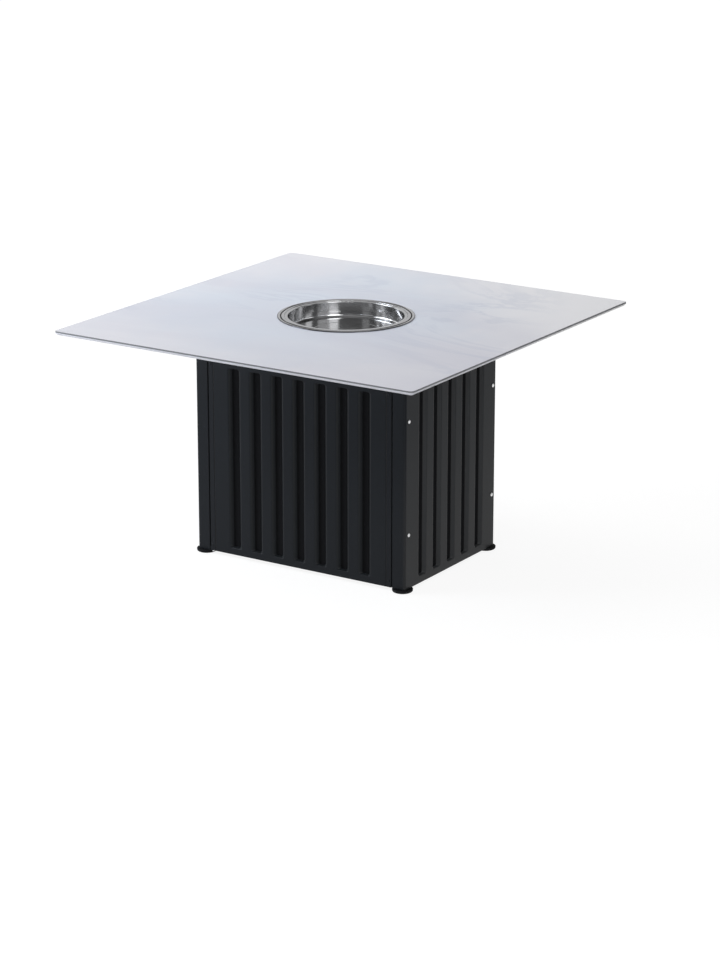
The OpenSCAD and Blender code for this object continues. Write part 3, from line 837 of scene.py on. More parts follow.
class Former:
    """One piece as it is formed, in millimetres, and the object that it becomes."""

    def __init__(self, name: str) -> None:
        """Starts an empty piece."""
        self.name = name
        self.bm = bmesh.new()

    def points(self, places: Sequence[Point | Vector]) -> list[Vert]:
        """Adds vertices and gives them in order."""
        return [self.bm.verts.new(p) for p in places]

    def face(self, corners: Sequence[Vert]) -> None:
        """Adds one face.

        Args:
            corners: its corners; those that repeat are left out, and fewer than three make no face.
        """
        kept = [c for i, c in enumerate(corners) if c is not corners[i - 1]]
        if len(kept) > 2:
            self.bm.faces.new(kept)

    def band(self, first: Sequence[Vert], second: Sequence[Vert], closed: bool = True) -> None:
        """Joins two rows of as many vertices with quads.

        Args:
            first: the one row.
            second: the other row.
            closed: whether each row is a loop.
        """
        count = len(first)
        for i in range(count if closed else count - 1):
            j = (i + 1) % count
            self.face((first[i], first[j], second[j], second[i]))

    def loft(self, rows: Sequence[Sequence[Point | Vector]], closed: bool = True) -> list[list[Vert]]:
        """Joins rows of points one after the other.

        Args:
            rows: the rows, each with as many points.
            closed: whether each row is a loop.

        Returns:
            The vertices of each row.
        """
        made = [self.points(row) for row in rows]
        for first, second in zip(made, made[1:]):
            self.band(first, second, closed)
        return made

    def lathe(self, profile: Sequence[Plane], segments: int, place: Matrix | None = None,
              closed: bool = True) -> list[Vert]:
        """Turns a profile of (radius, height) about an upright axis.

        Args:
            profile: the points; a radius of 0 ends in one vertex.
            segments: steps round the axis.
            place: where the axis stands.
            closed: whether the profile's last point joins its first.

        Returns:
            The ring of its last point.
        """
        place = place or Matrix.Identity(4)
        rows = []
        for radius, height in profile:
            if radius:
                rows.append(self.points([place @ p for p in circle(radius, height, segments)]))
            else:
                rows.append(self.points([place @ Vector((0.0, 0.0, height))]) * segments)
        for first, second in zip(rows, rows[1:]):
            self.band(first, second)
        if closed:
            self.band(rows[-1], rows[0])
        return rows[-1]

    def fill(self, loops: Sequence[Sequence[Vert]]) -> None:
        """Fills the flat region between an outline and the holes in it.

        Args:
            loops: the outline and the holes, in any order.
        """
        edges = []
        for loop in loops:
            for i, vert in enumerate(loop):
                other = loop[(i + 1) % len(loop)]
                edges.append(self.bm.edges.get((vert, other)) or self.bm.edges.new((vert, other)))
        bmesh.ops.triangle_fill(self.bm, use_beauty=True, edges=edges)

    def make(self, body: str, finish: Finish, slot: str, replaces: Sequence[str], sharp: float,
             sheet: float = 0.0) -> None:
        """Ends the forming and puts the piece on its body.

        Args:
            body: the body it rides on.
            finish: its finish.
            slot: the name of a material slot; not used.
            replaces: nodes of the frame that it stands for.
            sharp: the angle in degrees above which an edge stays sharp.
            sheet: thickness given to a formed skin, inwards; 0 for a solid, whose faces turn outwards.
        """
        bmesh.ops.remove_doubles(self.bm, verts=self.bm.verts, dist=WELD)
        if not sheet:
            bmesh.ops.recalc_face_normals(self.bm, faces=self.bm.faces)
        bmesh.ops.scale(self.bm, vec=(MM, MM, MM), verts=self.bm.verts)
        mesh = bpy.data.meshes.new(self.name)
        self.bm.to_mesh(mesh)
        self.bm.free()
        piece = put(self.name, mesh)
        mesh.materials.append(finish.material())
        mesh.polygons.foreach_set("use_smooth", [True] * len(mesh.polygons))
        mesh.set_sharp_from_angle(angle=math.radians(sharp))
        if sheet:
            thick = piece.modifiers.new("sheet", "SOLIDIFY")
            thick.thickness = sheet * MM
            thick.offset = -1.0
            thick.use_even_offset = True
        flat = piece.modifiers.new("flat_faces", "WEIGHTED_NORMAL")
        flat.keep_sharp = True
        flat.weight = FLAT_WEIGHT
        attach(piece, body)
        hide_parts(*replaces)
        LOG.info("%s: %d faces on %s", self.name, len(mesh.polygons), body)


def dress(nodes: Sequence[str], finish: Finish, round_edges: float = 0.4) -> None:
    """Gives nodes of the frame that keep their own shape a finish and eased edges.

    Args:
        nodes: their names.
        finish: the finish.
        round_edges: radius of the eased edges.
    """
    for name in nodes:
        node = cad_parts[name]
        node.data.materials.clear()
        node.data.materials.append(finish.material())
        ease = node.modifiers.new("eased_edges", "BEVEL")
        ease.width = round_edges * MM
        ease.segments = EASE_STEPS
        ease.limit_method = "ANGLE"
        ease.angle_limit = math.radians(EASE_ANGLE)
        LOG.info("%s: kept from the frame", name)


def box_of(node: str) -> tuple[Vector, Vector]:
    """Lowest and highest corner of a node of the frame, in millimetres."""
    low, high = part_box(node)
    return low / MM, high / MM


# The stone and the well


@dataclass
class StoneTop:
    """The square stone slab with its round hole."""

    half: float = 600.0
    low: float = 700.0
    high: float = 712.0
    corner: float = 12.0
    corner_steps: int = 14
    arris: float = 0.9
    arris_steps: int = 4
    bevel: tuple[Plane, ...] = ((6.4, 0.0), (5.75, 0.15), (0.12, 5.7), (0.0, 6.35))
    hole: float = 182.0
    hole_ease: float = 0.5
    hole_steps: int = 160

    def build(self) -> None:
        """Forms the slab and dresses the pads under it."""
        former = Former("stone_slab")
        a = self.arris
        edge = arc((a, self.high - a), (a, a), 180.0, 90.0, self.arris_steps)
        skin = []
        for inset, z in [(inset, self.low + rise) for inset, rise in self.bevel] + edge:
            reach = self.half - inset
            loop = round_rect(reach, reach, self.corner - inset, self.corner_steps)
            skin.append([(x, y, z) for x, y in loop])
        made = former.loft(skin)
        bore = [(self.hole + self.hole_ease, self.low), (self.hole, self.low + self.hole_ease)]
        bore += arc((self.hole + a, self.high - a), (a, a), 180.0, 90.0, self.arris_steps)
        holes = former.loft([circle(radius, z, self.hole_steps) for radius, z in bore])
        for end in (0, -1):
            former.fill([made[end], holes[end]])
        former.make("table", STONE, "stone", ["top_slab"], sharp=50.0)
        dress(["slab_pads", "ring_gasket"], RUBBER, 0.3)


@dataclass
class Well:
    """The polished ring let into the stone and the pan that hangs in it.

    Its shaped parts are corners with their rounds: flange is (in from the ring's edge, below its top, round),
    bead is (out from the land, below the top, round) and pressed is (radius, above the floor, round).
    """

    segments: int = 160
    wall: float = 1.2
    ring: float = 200.0
    ring_top: float = 715.0
    ring_foot: float = 712.3
    foot_wall: float = 0.3
    land: float = 179.0
    ledge: float = 712.2
    collar: float = 171.0
    collar_low: float = 690.2
    flange: tuple[Point, ...] = ((0.0, 1.0, 1.0), (3.4, 0.0, 1.4), (6.6, 0.15, 1.0), (8.8, 1.5, 1.2))
    bead: tuple[Point, ...] = ((9.4, 1.6, 1.2), (6.6, 0.1, 1.8), (2.2, 0.0, 1.6), (0.0, 0.9, 0.8))
    rim: float = 178.4
    rim_low: float = 712.5
    rim_high: float = 713.7
    rim_roll: float = 2.2
    pan_out: float = 170.2
    pan_in: float = 169.0
    pan_floor: float = 668.7
    pan_corner: float = 8.0
    pressed: tuple[Point, ...] = ((96.0, 0.0, 3.0), (99.0, 0.6, 2.0), (103.0, 0.6, 2.0), (106.0, 0.0, 3.0))

    def build(self) -> None:
        """Forms the ring and the pan."""
        self.form_ring()
        self.form_pan()

    def form_ring(self) -> None:
        """Turns the ring, with the shallow steps that show on its flange."""
        t, foot, ledge = self.wall, self.ring_foot, self.ledge
        section = [(self.ring - t, foot, 0), (self.ring, foot, 0.4)]
        section += [(self.ring - inwards, self.ring_top - drop, turn) for inwards, drop, turn in self.flange]
        section += [(self.land + out, self.ring_top - drop, turn) for out, drop, turn in self.bead]
        section += [(self.land, ledge, 0.5), (self.collar, ledge, 1.4)]
        section += [(self.collar, self.collar_low, 0.3), (self.collar + t, self.collar_low, 0.3)]
        section += [(self.collar + t, ledge - t, 0.8), (self.land + t, ledge - t, 0.8)]
        section += [(self.land + t, foot + self.foot_wall, 0.2), (self.ring - t, foot + self.foot_wall, 0.2)]
        former = Former("well_ring_spun")
        former.lathe(rounded(section, closed=True), self.segments)
        former.make("table", STEEL, "polished_steel", ["well_ring"], sharp=60.0)

    def form_pan(self) -> None:
        """Turns the pan: rolled rim, wall, rounded foot and a floor with a pressed ring."""
        t, z = self.wall, self.pan_floor
        section = [(0.0, z, 0)] + [(radius, z + rise, turn) for radius, rise, turn in self.pressed]
        section += [(self.pan_in, z, self.pan_corner), (self.pan_in, self.rim_high, self.rim_roll)]
        section += [(self.rim - self.rim_roll, self.rim_high, 0.8), (self.rim, self.rim_high - 0.1, 0.5)]
        section += [(self.rim, self.rim_low, 0.5), (self.pan_out, self.rim_low, 0.6)]
        section += [(self.pan_out, z - t, self.pan_corner + t), (0.0, z - t, 0)]
        former = Former("well_pan_spun")
        former.lathe(rounded(section, steps=5), self.segments, closed=False)
        former.make("pan", STEEL, "polished_steel", ["well_pan"], sharp=60.0)


# The formed sheets


class Side(Enum):
    """A face of the cabinet, with the turn about the upright axis that brings it to the front."""

    FRONT = 0.0
    RIGHT = 90.0
    BACK = 180.0
    LEFT = 270.0

    def place(self, reach: float, u: float, v: float, w: float) -> Point:
        """A point of the face in the part's frame.

        Args:
            reach: distance from the middle of the table to the face.
            u: distance to the right, seen from outside.
            v: height.
            w: depth behind the face.

        Returns:
            The point.
        """
        a = math.radians(self.value)
        x, y = u, -reach + w
        return (x * math.cos(a) - y * math.sin(a), x * math.sin(a) + y * math.cos(a), v)


@dataclass(frozen=True)
class Flute:
    """The shape of one pressed flute: sloping sides with soft shoulders and closed ends."""

    mouth: float = 36.0
    bottom: float = 22.0
    depth: float = 11.0
    shoulder: float = 10.0
    shoulder_levels: int = 7
    low_round: float = 3.5
    low_levels: int = 5
    end_run: float = 3.0
    end_shoulder: float = 2.5
    plan_corner: float = 7.0
    corner_taper: float = 0.25
    corner_steps: int = 5
    least_step: float = 0.03
    digits: int = 4

    @property
    def run(self) -> float:
        """How far a long side slopes inwards."""
        return (self.mouth - self.bottom) / 2

    def inset(self, w: float, run: float, shoulder: float) -> float:
        """How far inside the mouth's nominal edge the wall lies at a depth.

        Args:
            w: the depth.
            run: horizontal run of the straight wall.
            shoulder: radius of its upper round.

        Returns:
            The distance, negative outside the nominal edge.
        """
        slope = math.atan2(self.depth, run)
        high = shoulder * (1 - math.cos(slope))
        low = self.low_round * (1 - math.cos(slope))
        if w < high:
            turn = math.acos(1 - w / shoulder)
            return shoulder * (math.sin(turn) - math.tan(slope / 2))
        if self.depth - w < low:
            turn = math.acos(1 - (self.depth - w) / self.low_round)
            return run - self.low_round * (math.sin(turn) - math.tan(slope / 2))
        return run * w / self.depth

    def depths(self) -> list[float]:
        """Chooses the depths of the loops that describe the wall, closer together on its rounds.

        Returns:
            The depths, rising.
        """
        found = [0.0, self.depth]
        for run, radius in ((self.run, self.shoulder), (self.end_run, self.end_shoulder)):
            turns = spread(0.0, math.atan2(self.depth, run), self.shoulder_levels)
            found += [radius * (1 - math.cos(turn)) for turn in turns]
        turns = spread(0.0, math.atan2(self.depth, self.run), self.low_levels)
        found += [self.depth - self.low_round * (1 - math.cos(turn)) for turn in turns]
        kept: list[float] = []
        for w in sorted({round(w, self.digits) for w in found}):
            if not kept or w - kept[-1] > self.least_step or w == self.depth:
                kept.append(w)
        return kept

    def loops(self, u: float, low: float, high: float) -> list[list[Point]]:
        """The flute's loops of (u, v, w), from the face down to its floor.

        Args:
            u: its middle.
            low: height of the lower end of its mouth.
            high: height of the upper end.

        Returns:
            The loops.
        """
        middle = (low + high) / 2
        made = []
        for w in self.depths():
            half_u = self.mouth / 2 - self.inset(w, self.run, self.shoulder)
            half_v = (high - low) / 2 - self.inset(w, self.end_run, self.end_shoulder)
            radius = self.plan_corner - self.corner_taper * w
            loop = round_rect(half_u, half_v, radius, self.corner_steps)
            made.append([(u + x, middle + y, w) for x, y in loop])
        return made


@dataclass
class FlutedSheet:
    """A formed sheet with a row of flutes: its outer skin, which is thickened inwards.

    The cell round each flute leaves room for a share of its shoulder's radius and a gap.
    """

    name: str
    side: Side
    reach: float
    flutes: list[float]
    low: float
    high: float
    thickness: float = 1.2
    margin: float = 21.0
    bend: float = 1.8
    flute: Flute = Flute()
    shoulder_reach: float = 0.56
    cell_gap: float = 1.0
    former: Former = field(init=False)

    def __post_init__(self) -> None:
        """Opens the former."""
        self.former = Former(self.name)

    def at(self, u: float, v: float, w: float) -> Point:
        """A point of the sheet in the part's frame."""
        return self.side.place(self.reach, u, v, w)

    def skin(self, rows: Sequence[Sequence[Point]], closed: bool = False) -> list[list[Vert]]:
        """Adds a part of the skin from rows of (u, v, w) and gives its vertices."""
        return self.former.loft([[self.at(*p) for p in row] for row in rows], closed)

    def patch(self, path: Sequence[Plane], heights: Sequence[float]) -> None:
        """Adds an upright strip of the skin, with its plan as (u, w) from left to right."""
        self.skin([[(u, v, w) for u, w in path] for v in heights])

    def fold(self, columns: Sequence[float], section: Sequence[Plane], lines: dict[float, float]) -> None:
        """Adds a folded edge, into which pressed lines run out.

        Args:
            columns: the columns it spans.
            section: its section as (v, w), in rising order of v.
            lines: depth of the pressed lines at the columns that have one.
        """
        rows = []
        for v, w in section:
            fade = max(0.0, 1.0 - w / self.bend)
            rows.append([(u, v, w + fade * lines.get(u, 0.0)) for u in columns])
        self.skin(rows)

    def cell(self, left: float, right: float, low: float, high: float, middle: float) -> None:
        """Adds the part of the face that holds one flute.

        Args:
            left: its left side.
            right: its right side.
            low: its lower side.
            high: its upper side.
            middle: the flute's middle.
        """
        loops = self.flute.loops(middle, self.low + self.margin, self.high - self.margin)
        rows = self.skin(loops, closed=True)
        self.former.face(rows[-1])
        square = ((right, high), (left, high), (left, low), (right, low))
        corners = self.former.points([self.at(u, v, 0.0) for u, v in square])
        count = self.flute.corner_steps + 1
        mouth = rows[0]
        for k, corner in enumerate(corners):
            bend = mouth[k * count:(k + 1) * count]
            for first, second in zip(bend, bend[1:]):
                self.former.face((corner, second, first))
            after = mouth[(k + 1) * count % len(mouth)]
            self.former.face((corner, corners[(k + 1) % len(corners)], after, bend[-1]))

    def cells(self) -> tuple[list[float], float, float]:
        """Divides the face into the flutes' cells.

        Returns:
            The columns between the cells, and the cells' lower and upper side.
        """
        half = self.flute.mouth / 2 + self.flute.shoulder * self.shoulder_reach + self.cell_gap
        edges = [self.flutes[0] - half]
        edges += [(a + b) / 2 for a, b in zip(self.flutes, self.flutes[1:])]
        edges.append(self.flutes[-1] + half)
        reach = self.margin - self.flute.end_shoulder - self.cell_gap
        return edges, self.low + reach, self.high - reach

    def fluted_face(self) -> tuple[list[float], float, float]:
        """Adds all the cells.

        Returns:
            Their columns, and their lower and upper side.
        """
        edges, low, high = self.cells()
        for left, right, middle in zip(edges, edges[1:], self.flutes):
            self.cell(left, right, low, high, middle)
        return edges, low, high

    def finish(self, body: str, replaces: str) -> None:
        """Ends the sheet and puts it on its body."""
        self.former.make(body, SHEET_PAINT, "black_sheet", [replaces], sharp=40.0, sheet=self.thickness)


def mirrored(path: Sequence[Plane]) -> list[Plane]:
    """A plan of (u, w) turned left for right, so that it still runs from left to right."""
    return [(-u, w) for u, w in reversed(path)]


@dataclass
class WrapPanel(FlutedSheet):
    """A side panel that wraps round both upright corners onto the front and the back."""

    half_depth: float = 250.0
    corner: float = 8.0
    corner_steps: int = 8
    flange: float = 42.5
    lip: float = 11.0

    def build(self, body: str, replaces: str) -> None:
        """Forms the panel.

        Args:
            body: the body it rides on.
            replaces: the node that it stands for.
        """
        edges, low, high = self.fluted_face()
        levels = [self.low, low, high, self.high]
        d = self.half_depth
        path = [(-d + self.lip, self.flange, 0), (-d, self.flange, self.bend), (-d, 0.0, self.corner)]
        wrap = rounded([*path, (edges[0], 0.0, 0)], steps=self.corner_steps)
        self.patch(wrap, levels)
        self.patch(mirrored(wrap), levels)
        face = [(u, 0.0) for u in edges]
        self.patch(face, levels[:2])
        self.patch(face, levels[2:])
        self.finish(body, replaces)


@dataclass
class TrayPanel(FlutedSheet):
    """A fluted sheet with all four edges folded back, such as the door.

    Its reliefs are how far the side folds stop short of the panel's ends, on the left and on the right.
    """

    width: float = 628.0
    fold_depth: float = 13.0
    side_fold: float = 9.0
    reliefs: Plane = (12.0, 3.0)
    lined: bool = True
    line_in: float = 17.0
    line_width: float = 3.4
    line_depth: float = 1.5
    line_points: int = 9

    def groove(self, middle: float) -> list[Plane]:
        """The section of a pressed line as (u, w)."""
        return [(middle + self.line_width * (s - 0.5), self.line_depth * math.sin(math.pi * s))
                for s in spread(0.0, 1.0, self.line_points)]

    def build(self, body: str, replaces: str) -> None:
        """Forms the panel.

        Args:
            body: the body it rides on.
            replaces: the node that it stands for.
        """
        edges, low, high = self.fluted_face()
        half = self.width / 2
        left = [(-half + self.bend, 0.0)]
        left += self.groove(self.line_in - half) if self.lined else []
        left.append((edges[0], 0.0))
        right = mirrored(left)
        stops = [self.low + r for r in self.reliefs] + [self.high - r for r in self.reliefs]
        levels = sorted([self.low + self.bend, low, high, self.high - self.bend, *stops])
        for strip in (left, right):
            self.patch(strip, levels)
        face = [(u, 0.0) for u in edges]
        self.patch(face, [v for v in levels if v <= low])
        self.patch(face, [v for v in levels if v >= high])
        for s, relief in zip((-1, 1), self.reliefs):
            self.fold_side(s, relief, levels)
        inner = 2 * self.bend
        folded = [(self.low, self.fold_depth, 0), (self.low, 0.0, self.bend), (self.low + inner, 0.0, 0)]
        section = rounded(folded)[:-1]
        raised = [(self.low + self.high - v, w) for v, w in reversed(section)]
        columns = sorted({-half, half, *(u for u, _ in left + face + right)})
        for edge in (section, raised):
            self.fold(columns, edge, dict(left + right))
        self.finish(body, replaces)

    def fold_side(self, s: int, relief: float, levels: Sequence[float]) -> None:
        """Adds the folded edge of one side and the flat corners above and below it.

        Args:
            s: -1 for the left side, 1 for the right.
            relief: how far the fold stops short of the panel's ends.
            levels: heights of the panel's rows.
        """
        half = self.width / 2
        low, high = self.low + relief, self.high - relief
        corner = sorted([(s * half, 0.0), (s * (half - self.bend), 0.0)])
        self.patch(corner, [v for v in levels if v <= low])
        self.patch(corner, [v for v in levels if v >= high])
        path = [(-half, self.side_fold, 0), (-half, 0.0, self.bend), (-half + 2 * self.bend, 0.0, 0)]
        turned = rounded(path)[:-1]
        self.patch(turned if s < 0 else mirrored(turned), [v for v in levels if low <= v <= high])


@dataclass
class Screws:
    """Domed screws with a cross recess, whose heights are shares of the head's."""

    name: str
    head: float = 5.5
    height: float = 3.0
    recess: float = 2.5
    finish: Finish = PLATED
    slot: str = "bright_steel"
    steps: int = 40
    foot_ease: float = 0.25
    rim_share: float = 0.3
    dome_end: float = 62.0
    dome_steps: int = 6
    seat_spread: float = 1.15
    seat_step: float = 0.12
    seat_heights: Range = (0.96, 0.93)
    arm_half: float = 0.42
    recess_taper: float = 0.55
    recess_floor: float = 0.5

    def build(self, places: Sequence[Matrix], replaces: str) -> None:
        """Forms the heads at places whose +Z points out of the panel.

        Args:
            places: where each head stands.
            replaces: the node that they stand for.
        """
        former = Former(self.name)
        rim, seat = self.height * self.rim_share, self.recess * self.seat_spread
        rest, mouth_height = [self.height * share for share in self.seat_heights]
        profile = [(0.0, 0.0), (self.head - self.foot_ease, 0.0), (self.head, self.foot_ease)]
        profile += arc((0.0, rim), (self.head, self.height - rim), 0.0, self.dome_end, self.dome_steps)
        profile += [(seat, rest), (seat - self.seat_step, mouth_height)]
        cross = self.cross()
        ends = ((1.0, mouth_height), (self.recess_taper, self.height * self.recess_floor))
        for place in places:
            ring = former.lathe(profile, self.steps, place, closed=False)
            rows = [[place @ Vector((x * share, y * share, z)) for x, y in cross] for share, z in ends]
            mouth, floor = former.loft(rows)
            former.fill([ring, mouth])
            former.fill([floor])
        former.make("table", self.finish, self.slot, [replaces], sharp=35.0)

    def cross(self) -> list[Plane]:
        """Draws the mouth of the cross recess.

        Returns:
            Its outline.
        """
        arm, half = self.recess, self.arm_half
        outline = []
        for turn in (0, 90, 180, 270):
            a = math.radians(turn)
            for x, y in ((half, -half), (arm, -half), (arm, half)):
                outline.append((x * math.cos(a) - y * math.sin(a), x * math.sin(a) + y * math.cos(a)))
        return outline


@dataclass
class Cabinet:
    """The fixed sheets of the base with their screws."""

    half_w: float = 360.0
    half_d: float = 250.0
    low: float = 11.0
    high: float = 671.0
    side_in: float = 156.0
    side_flutes: int = 5
    back_in: float = 223.8
    back_flutes: int = 7
    back_width: float = 633.4
    back_fold: float = 9.2
    strip_low: float = 600.0
    strip_half: float = 314.0
    strip_folds: Range = (37.2, 15.2)
    screw_in: float = 20.0
    screw_heights: Range = (171.0, 504.0)
    screw_twist: Plane = (17.0, 31.0)
    back_screw_heights: Range = (44.0, 641.5)
    back_screw_columns: int = 4

    def build(self) -> None:
        """Forms the side, back and upper front sheets and their screws."""
        row = spread(-self.side_in, self.side_in, self.side_flutes)
        for side, name in ((Side.LEFT, "left"), (Side.RIGHT, "right")):
            panel = WrapPanel(f"side_sheet_{name}", side, self.half_w, row, self.low, self.high)
            panel.build("table", f"{name}_panel")
        row = spread(-self.back_in, self.back_in, self.back_flutes)
        back = TrayPanel("back_sheet", Side.BACK, self.half_d, row, self.low, self.high,
                         width=self.back_width, fold_depth=self.back_fold, side_fold=self.back_fold,
                         lined=False)
        back.build("table", "back_panel")
        self.form_strip()
        self.set_side_screws()
        self.set_back_screws()

    def form_strip(self) -> None:
        """Forms the plain strip above the door."""
        sheet = FlutedSheet("front_strip", Side.FRONT, self.half_d, [], self.strip_low, self.high)
        low_fold, high_fold = self.strip_folds
        path = [(self.strip_low, low_fold, 0), (self.strip_low, 0.0, sheet.bend)]
        path += [(self.high, 0.0, sheet.bend), (self.high, high_fold, 0)]
        sheet.fold([-self.strip_half, self.strip_half], rounded(path), {})
        sheet.finish("table", "front_fascia")

    def set_side_screws(self) -> None:
        """Sets the bright screws of the sides, whose recesses stand at uneven angles."""
        by_height, by_end = self.screw_twist
        for name, s in (("left", -1), ("right", 1)):
            turn = Matrix.Rotation(math.radians(90.0 * s), 4, "Y")
            places = []
            for t in (-1, 1):
                for z in self.screw_heights:
                    spot = Matrix.Translation((s * self.half_w, t * (self.half_d - self.screw_in), z))
                    twist = Matrix.Rotation(math.radians(by_height * z + by_end * t), 4, "Z")
                    places.append(spot @ turn @ twist)
            Screws(f"side_screws_{name}").build(places, f"{name}_screws")

    def set_back_screws(self) -> None:
        """Sets the black screws in the floors of the back's flutes."""
        turn = Matrix.Rotation(math.radians(-90.0), 4, "X")
        places = []
        for x in spread(-self.back_in, self.back_in, self.back_screw_columns):
            for z in self.back_screw_heights:
                spot = Matrix.Translation((x, self.half_d - Flute().depth, z))
                places.append(spot @ turn @ Matrix.Rotation(math.radians(x + z), 4, "Z"))
        screws = Screws("back_sheet_screws", head=4.0, height=2.2, recess=1.8, finish=SHEET_PAINT,
                        slot="black_sheet")
        screws.build(places, "back_screws")


@dataclass
class Door:
    """The hinged door with its stiles, rivets and strike."""

    half_d: float = 250.0
    low: float = 11.0
    high: float = 597.0
    flutes_in: float = 223.8
    flutes: int = 7
    half_width: float = 314.0
    rivet_in: float = 8.0
    rivet_heights: Range = (30.0, 579.0)
    rivet: float = 3.5
    rivet_rim: float = 0.25
    rivet_dome: float = 0.75
    dome_end: float = 75.0
    dome_steps: int = 5
    shank: float = 2.0
    shank_depth: float = 2.4
    rivet_steps: int = 32

    def build(self) -> None:
        """Forms the door's sheet and rivets and dresses what is behind them."""
        row = spread(-self.flutes_in, self.flutes_in, self.flutes)
        sheet = TrayPanel("door_sheet", Side.FRONT, self.half_d, row, self.low, self.high,
                          width=2 * self.half_width)
        sheet.build("door", "door_skin")
        self.form_rivets()
        dress(["door_stile_left", "door_stile_right"], FRAME_PAINT)
        dress(["strike_plate"], PLATED)

    def form_rivets(self) -> None:
        """Turns the domed rivet heads and their shanks."""
        former = Former("door_rivet_heads")
        profile = [(0.0, -self.shank_depth), (self.shank, -self.shank_depth), (self.shank, 0.0)]
        profile.append((self.rivet, 0.0))
        dome = (self.rivet, self.rivet_dome)
        profile += arc((0.0, self.rivet_rim), dome, 0.0, self.dome_end, self.dome_steps)
        profile.append((0.0, self.rivet_rim + self.rivet_dome))
        turn = Matrix.Rotation(math.radians(90.0), 4, "X")
        for s in (-1, 1):
            for z in self.rivet_heights:
                spot = Matrix.Translation((s * (self.half_width - self.rivet_in), -self.half_d, z))
                former.lathe(profile, self.rivet_steps, spot @ turn, closed=False)
        former.make("door", SHEET_PAINT, "black_sheet", ["door_rivets"], sharp=40.0)


# The inside and the feet


@dataclass
class Tube:
    """A closed square or flat tube with rounded edges, set where its node is."""

    wall: float = 1.5
    edge: float = 2.2
    least_edge: float = 0.4
    end_ease: float = 0.25
    steps: int = 4

    def build(self, name: str, node: str, axis: int) -> None:
        """Forms the tube.

        Args:
            name: the piece's name.
            node: the node that it stands for.
            axis: 0, 1 or 2 for a tube along X, Y or Z.
        """
        low, high = box_of(node)
        start, end, ease = low[axis], high[axis], self.end_ease
        order = [(start + ease, 0.0), (end - ease, 0.0), (end, ease), (end, self.wall), (start, self.wall)]
        order.append((start, ease))
        former = Former(name)
        made = former.loft([self.loop(low, high, axis, along, inset) for along, inset in order])
        former.band(made[-1], made[0])
        former.make("table", FRAME_PAINT, "black_frame", [node], sharp=40.0)

    def loop(self, low: Vector, high: Vector, axis: int, along: float, inset: float) -> list[Vector]:
        """One loop of the tube's skin.

        Args:
            low: the node's lowest corner.
            high: its highest corner.
            axis: the tube's axis.
            along: the loop's place on that axis.
            inset: how far it lies inside the tube's outline.

        Returns:
            The points.
        """
        size, middle = high - low, (high + low) / 2
        first, second = [i for i in range(3) if i != axis]
        radius = max(self.least_edge, self.edge - inset)
        points = []
        for a, b in round_rect(size[first] / 2 - inset, size[second] / 2 - inset, radius, self.steps):
            point = Vector()
            point[axis] = along
            point[first] = middle[first] + a
            point[second] = middle[second] + b
            points.append(point)
        return points


@dataclass
class Grommet:
    """The rubber grommet in the tray, which grips its hole with a groove."""

    y: float = 130.0
    bore: float = 25.0
    hole: float = 30.0
    flange: float = 34.0
    low: float = 53.5
    tray_low: float = 56.0
    tray_high: float = 57.5
    high: float = 60.0
    rounds: tuple[float, ...] = (1.6, 1.2, 0.3, 0.2)
    steps: int = 64

    def build(self) -> None:
        """Turns the grommet, with the rounds of its bore, its flange and the groove's mouth and root."""
        lip, crown, mouth, root = self.rounds
        section = [(self.bore, self.low, lip), (self.flange, self.low, crown)]
        section += [(self.flange, self.tray_low, mouth), (self.hole, self.tray_low, root)]
        section += [(self.hole, self.tray_high, root), (self.flange, self.tray_high, mouth)]
        section += [(self.flange, self.high, crown), (self.bore, self.high, lip)]
        former = Former("tray_grommet")
        place = Matrix.Translation((0.0, self.y, 0.0))
        former.lathe(rounded(section, closed=True, steps=3), self.steps, place)
        former.make("table", RUBBER, "rubber", ["cable_grommet"], sharp=60.0)


@dataclass
class Skeleton:
    """Posts, rails and bearers, with the tray and what fastens them."""

    post_edge: float = 7.9

    def build(self) -> None:
        """Forms the tubes and the grommet and dresses the rest."""
        for corner in ("front_left", "front_right", "back_left", "back_right"):
            Tube(edge=self.post_edge).build(f"corner_post_{corner}", f"post_{corner}", 2)
        for level in ("top", "bottom"):
            for side, axis in (("front", 0), ("back", 0), ("left", 1), ("right", 1)):
                Tube().build(f"{level}_tube_{side}", f"{level}_rail_{side}", axis)
        for side in ("left", "right"):
            Tube().build(f"stone_bearer_{side}", f"bearer_{side}", 1)
        dress(["bearer_caps", "magnet_catch", "post_plugs"], PLASTIC, 0.5)
        bright = ["bearer_bolts", "bearer_nuts", "hinge_pin_top", "hinge_pin_bottom"]
        dress(bright, PLATED, 0.3)
        dress(["bottom_tray", "hinge_bracket"], FRAME_PAINT, 0.3)
        Grommet().build()


